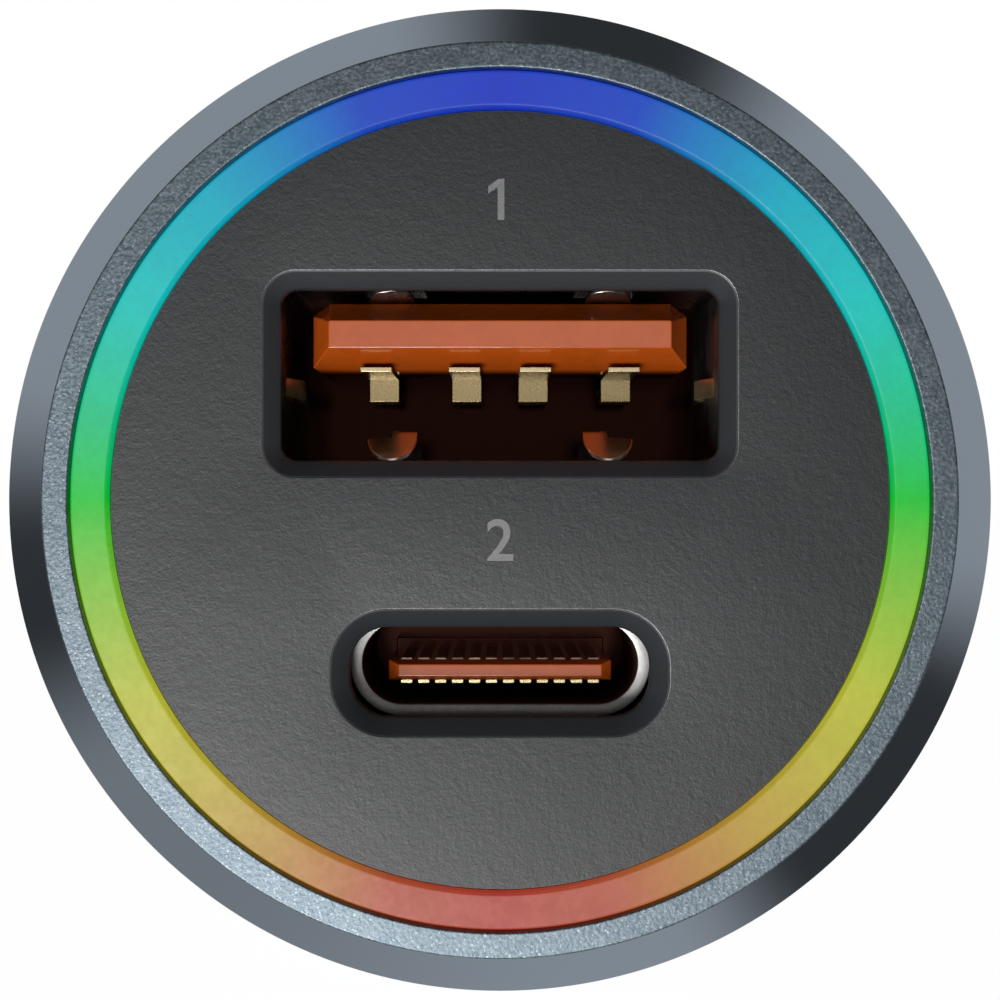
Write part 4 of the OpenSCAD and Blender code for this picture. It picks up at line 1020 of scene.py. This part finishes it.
def grown(tree, labels, values, name, material, replaces):
    """Runs a node tree with the given inputs and makes its result a plain piece."""
    host = add_object("host", bpy.data.meshes.new("host"))
    maker = host.modifiers.new("maker", "NODES")
    maker.node_group = tree
    for label, value in values.items():
        maker[labels[label]] = value
    maker[labels["Finish"]] = FINISHES[material]
    mesh = plain_mesh(host)
    bm = joined(mesh)
    bpy.data.objects.remove(host)
    bpy.data.meshes.remove(mesh)
    finished_piece(name, bm, material, replaces=replaces, sharp=40.0)


def make_oval_contacts():
    """Twelve contacts above the oval tongue and twelve below."""
    tree, labels = contact_row_tree()
    for side, word, proud, depth, material in ((1, "upper", 0.05, 2.95, "gold_in_painted_shade"),
                                               (-1, "lower", 0.09, 2.85, "gold_contact")):
        height = OVAL_TONGUE_UP + side * (OVAL_TONGUE_HALF + proud - CONTACT_SHEET / 2)
        front = FACE_OUT - depth
        grown(tree, labels, {"First Place": at(-5.5 * CONTACT_PITCH, height, front),
                             "Length": (front - PORT_BOARD) * MM},
              "oval_contacts_" + word, material, replaces=["usb_c_contacts_" + word])


def make_tip_coil():
    """The spring behind the tip, which shortens as the tip goes in."""
    tree, labels = coil_tree()
    low = TIP_SEAT + 1 + 0.3
    high = CARRIER_END - 0.5 - 0.3
    grown(tree, labels, {"Rise": (high - low) * MM, "Start Place": at(0, 0, low)},
          "tip_coil", "spring_steel", replaces=["tip_spring"])
    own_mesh(bpy.data.objects["tip_coil"])


for make in (make_shell, make_light_ring, make_face_plate, make_plate_back, make_wide_shell,
             make_wide_tongue, make_wide_contacts, make_oval_shell, make_oval_tongue, make_oval_contacts,
             make_nose_cap, make_tip_pin, make_tip_coil, make_numbers):
    make()
for side_word, side in (("left", -1), ("right", 1)):
    refined("usb_a_side_spring_" + side_word, "brass_spring", "plug", 0.03, side * 0.28)
    refined("ground_spring_" + side_word, "spring_steel", "ground_" + side_word, 0.06)

# The inner pieces keep their CAD shapes
for node, material in (
        ("usb_c_mid_plate", "steel_sheet"), ("light_board", "board_green"), ("port_board", "board_green"),
        ("main_board", "board_green"), ("leds", "lamp_lens"), ("light_board_pins", "gold_contact"),
        ("coil_block", "coil_grey"), ("input_capacitor", "can_metal"), ("output_capacitor", "can_metal"),
        ("controller_chip", "chip_black"), ("power_diode", "chip_black"), ("fuse", "ceramic"),
        ("chip_capacitors", "ceramic"), ("board_carrier", "carrier_plastic"),
        ("tip_contact", "gold_contact")):
    for slot in CAD[node].material_slots:
        slot.material = FINISHES[material]


# Floor, studio and lamp

def make_floor():
    """Plain pale floor; the camera sees it white, with the object's soft shadow on it."""
    size = 1.5
    level = (-HEAD_R - 0.02) * MM
    mesh = bpy.data.meshes.new("floor")
    mesh.from_pydata([(x * size, y * size, level) for x, y in SQUARE], [], [(0, 1, 2, 3)])
    floor = add_object("floor", mesh)
    material = bpy.data.materials.new("floor_paper")
    material.use_nodes = True
    tree = material.node_tree
    tree.nodes.clear()
    paper = put(tree, "ShaderNodeBsdfDiffuse", Color=(0.85, 0.85, 0.85, 1))
    white = put(tree, "ShaderNodeEmission", Color=(1, 1, 1, 1), Strength=1.14)
    seen = tree.nodes.new("ShaderNodeLightPath").outputs["Is Camera Ray"]
    share = times(tree, seen, 0.86)
    both = put(tree, "ShaderNodeMixShader", i0=share, i1=paper, i2=white)
    put(tree, "ShaderNodeOutputMaterial", Surface=both)
    mesh.materials.append(material)
    floor.visible_shadow = False
    floor.visible_glossy = False
    floor.visible_transmission = False


def make_studio():
    """White to the camera; metal sees a white room with three dark flags and a wide grey one."""
    world = bpy.data.worlds.new("studio")
    bpy.context.scene.world = world
    world.use_nodes = True
    tree = world.node_tree
    tree.nodes.clear()
    way = tree.nodes.new("ShaderNodeTexCoord").outputs["Generated"]
    x, y, z = put(tree, "ShaderNodeSeparateXYZ", Vector=way).outputs
    turn = times(tree, maths(tree, "ARCTAN2", z, x), 180 / math.pi)
    side = 1.0
    # Each flag's middle, half width and soft edge in degrees round the axis, and how dark it is
    for middle, half, soft, depth in ((76.5, 18.0, 10.0, 0.90), (190.0, 15.0, 10.0, 0.86),
                                      (322.8, 22.0, 9.0, 0.89), (222.0, 34.0, 26.0, 0.32)):
        away = maths(tree, "WRAP", maths(tree, "SUBTRACT", turn, middle), 180.0, -180.0)
        away = maths(tree, "ABSOLUTE", away)
        light = step(tree, away, half - soft, half + soft, 1 - depth, 1.0)
        side = times(tree, light, side)
    ahead = step(tree, y, 0.05, -0.12)
    front = times(tree, step(tree, z, 0.8, -0.9, 0.12, 0.62), step(tree, y, -0.2, -0.75, 0.65, 0.25))
    front = maths(tree, "ADD", front, step(tree, y, -0.972, -0.992, 0.0, 0.98))
    glossy = blend_numbers(tree, ahead, side, front)
    seen = put(tree, "ShaderNodeBackground", Color=(1, 1, 1, 1), Strength=1.0)
    metal = put(tree, "ShaderNodeBackground", Color=(1, 1, 1, 1), Strength=glossy)
    fill = put(tree, "ShaderNodeBackground", Color=(0.97, 0.985, 1, 1), Strength=0.08)
    rays = tree.nodes.new("ShaderNodeLightPath").outputs
    first = put(tree, "ShaderNodeMixShader", i0=rays["Is Glossy Ray"], i1=fill, i2=metal)
    clear = maths(tree, "MAXIMUM", rays["Is Camera Ray"], rays["Is Transmission Ray"])
    both = put(tree, "ShaderNodeMixShader", i0=clear, i1=first, i2=seen)
    put(tree, "ShaderNodeOutputWorld", Surface=both)


def make_lamp(name, place, width, height, watts):
    """A rectangular lamp that shines at the middle of the shoulder."""
    data = bpy.data.lights.new(name, "AREA")
    data.shape = "RECTANGLE"
    data.size = width
    data.size_y = height
    data.energy = watts
    lamp = add_object(name, data)
    lamp.location = place
    lamp.rotation_euler = (Vector((0, 0, 0)) - Vector(place)).to_track_quat("-Z", "Y").to_euler()
    lamp.visible_camera = False


make_floor()
make_studio()
make_lamp("key", (-0.046, -0.146, -0.066), 0.10, 0.058, 0.27)
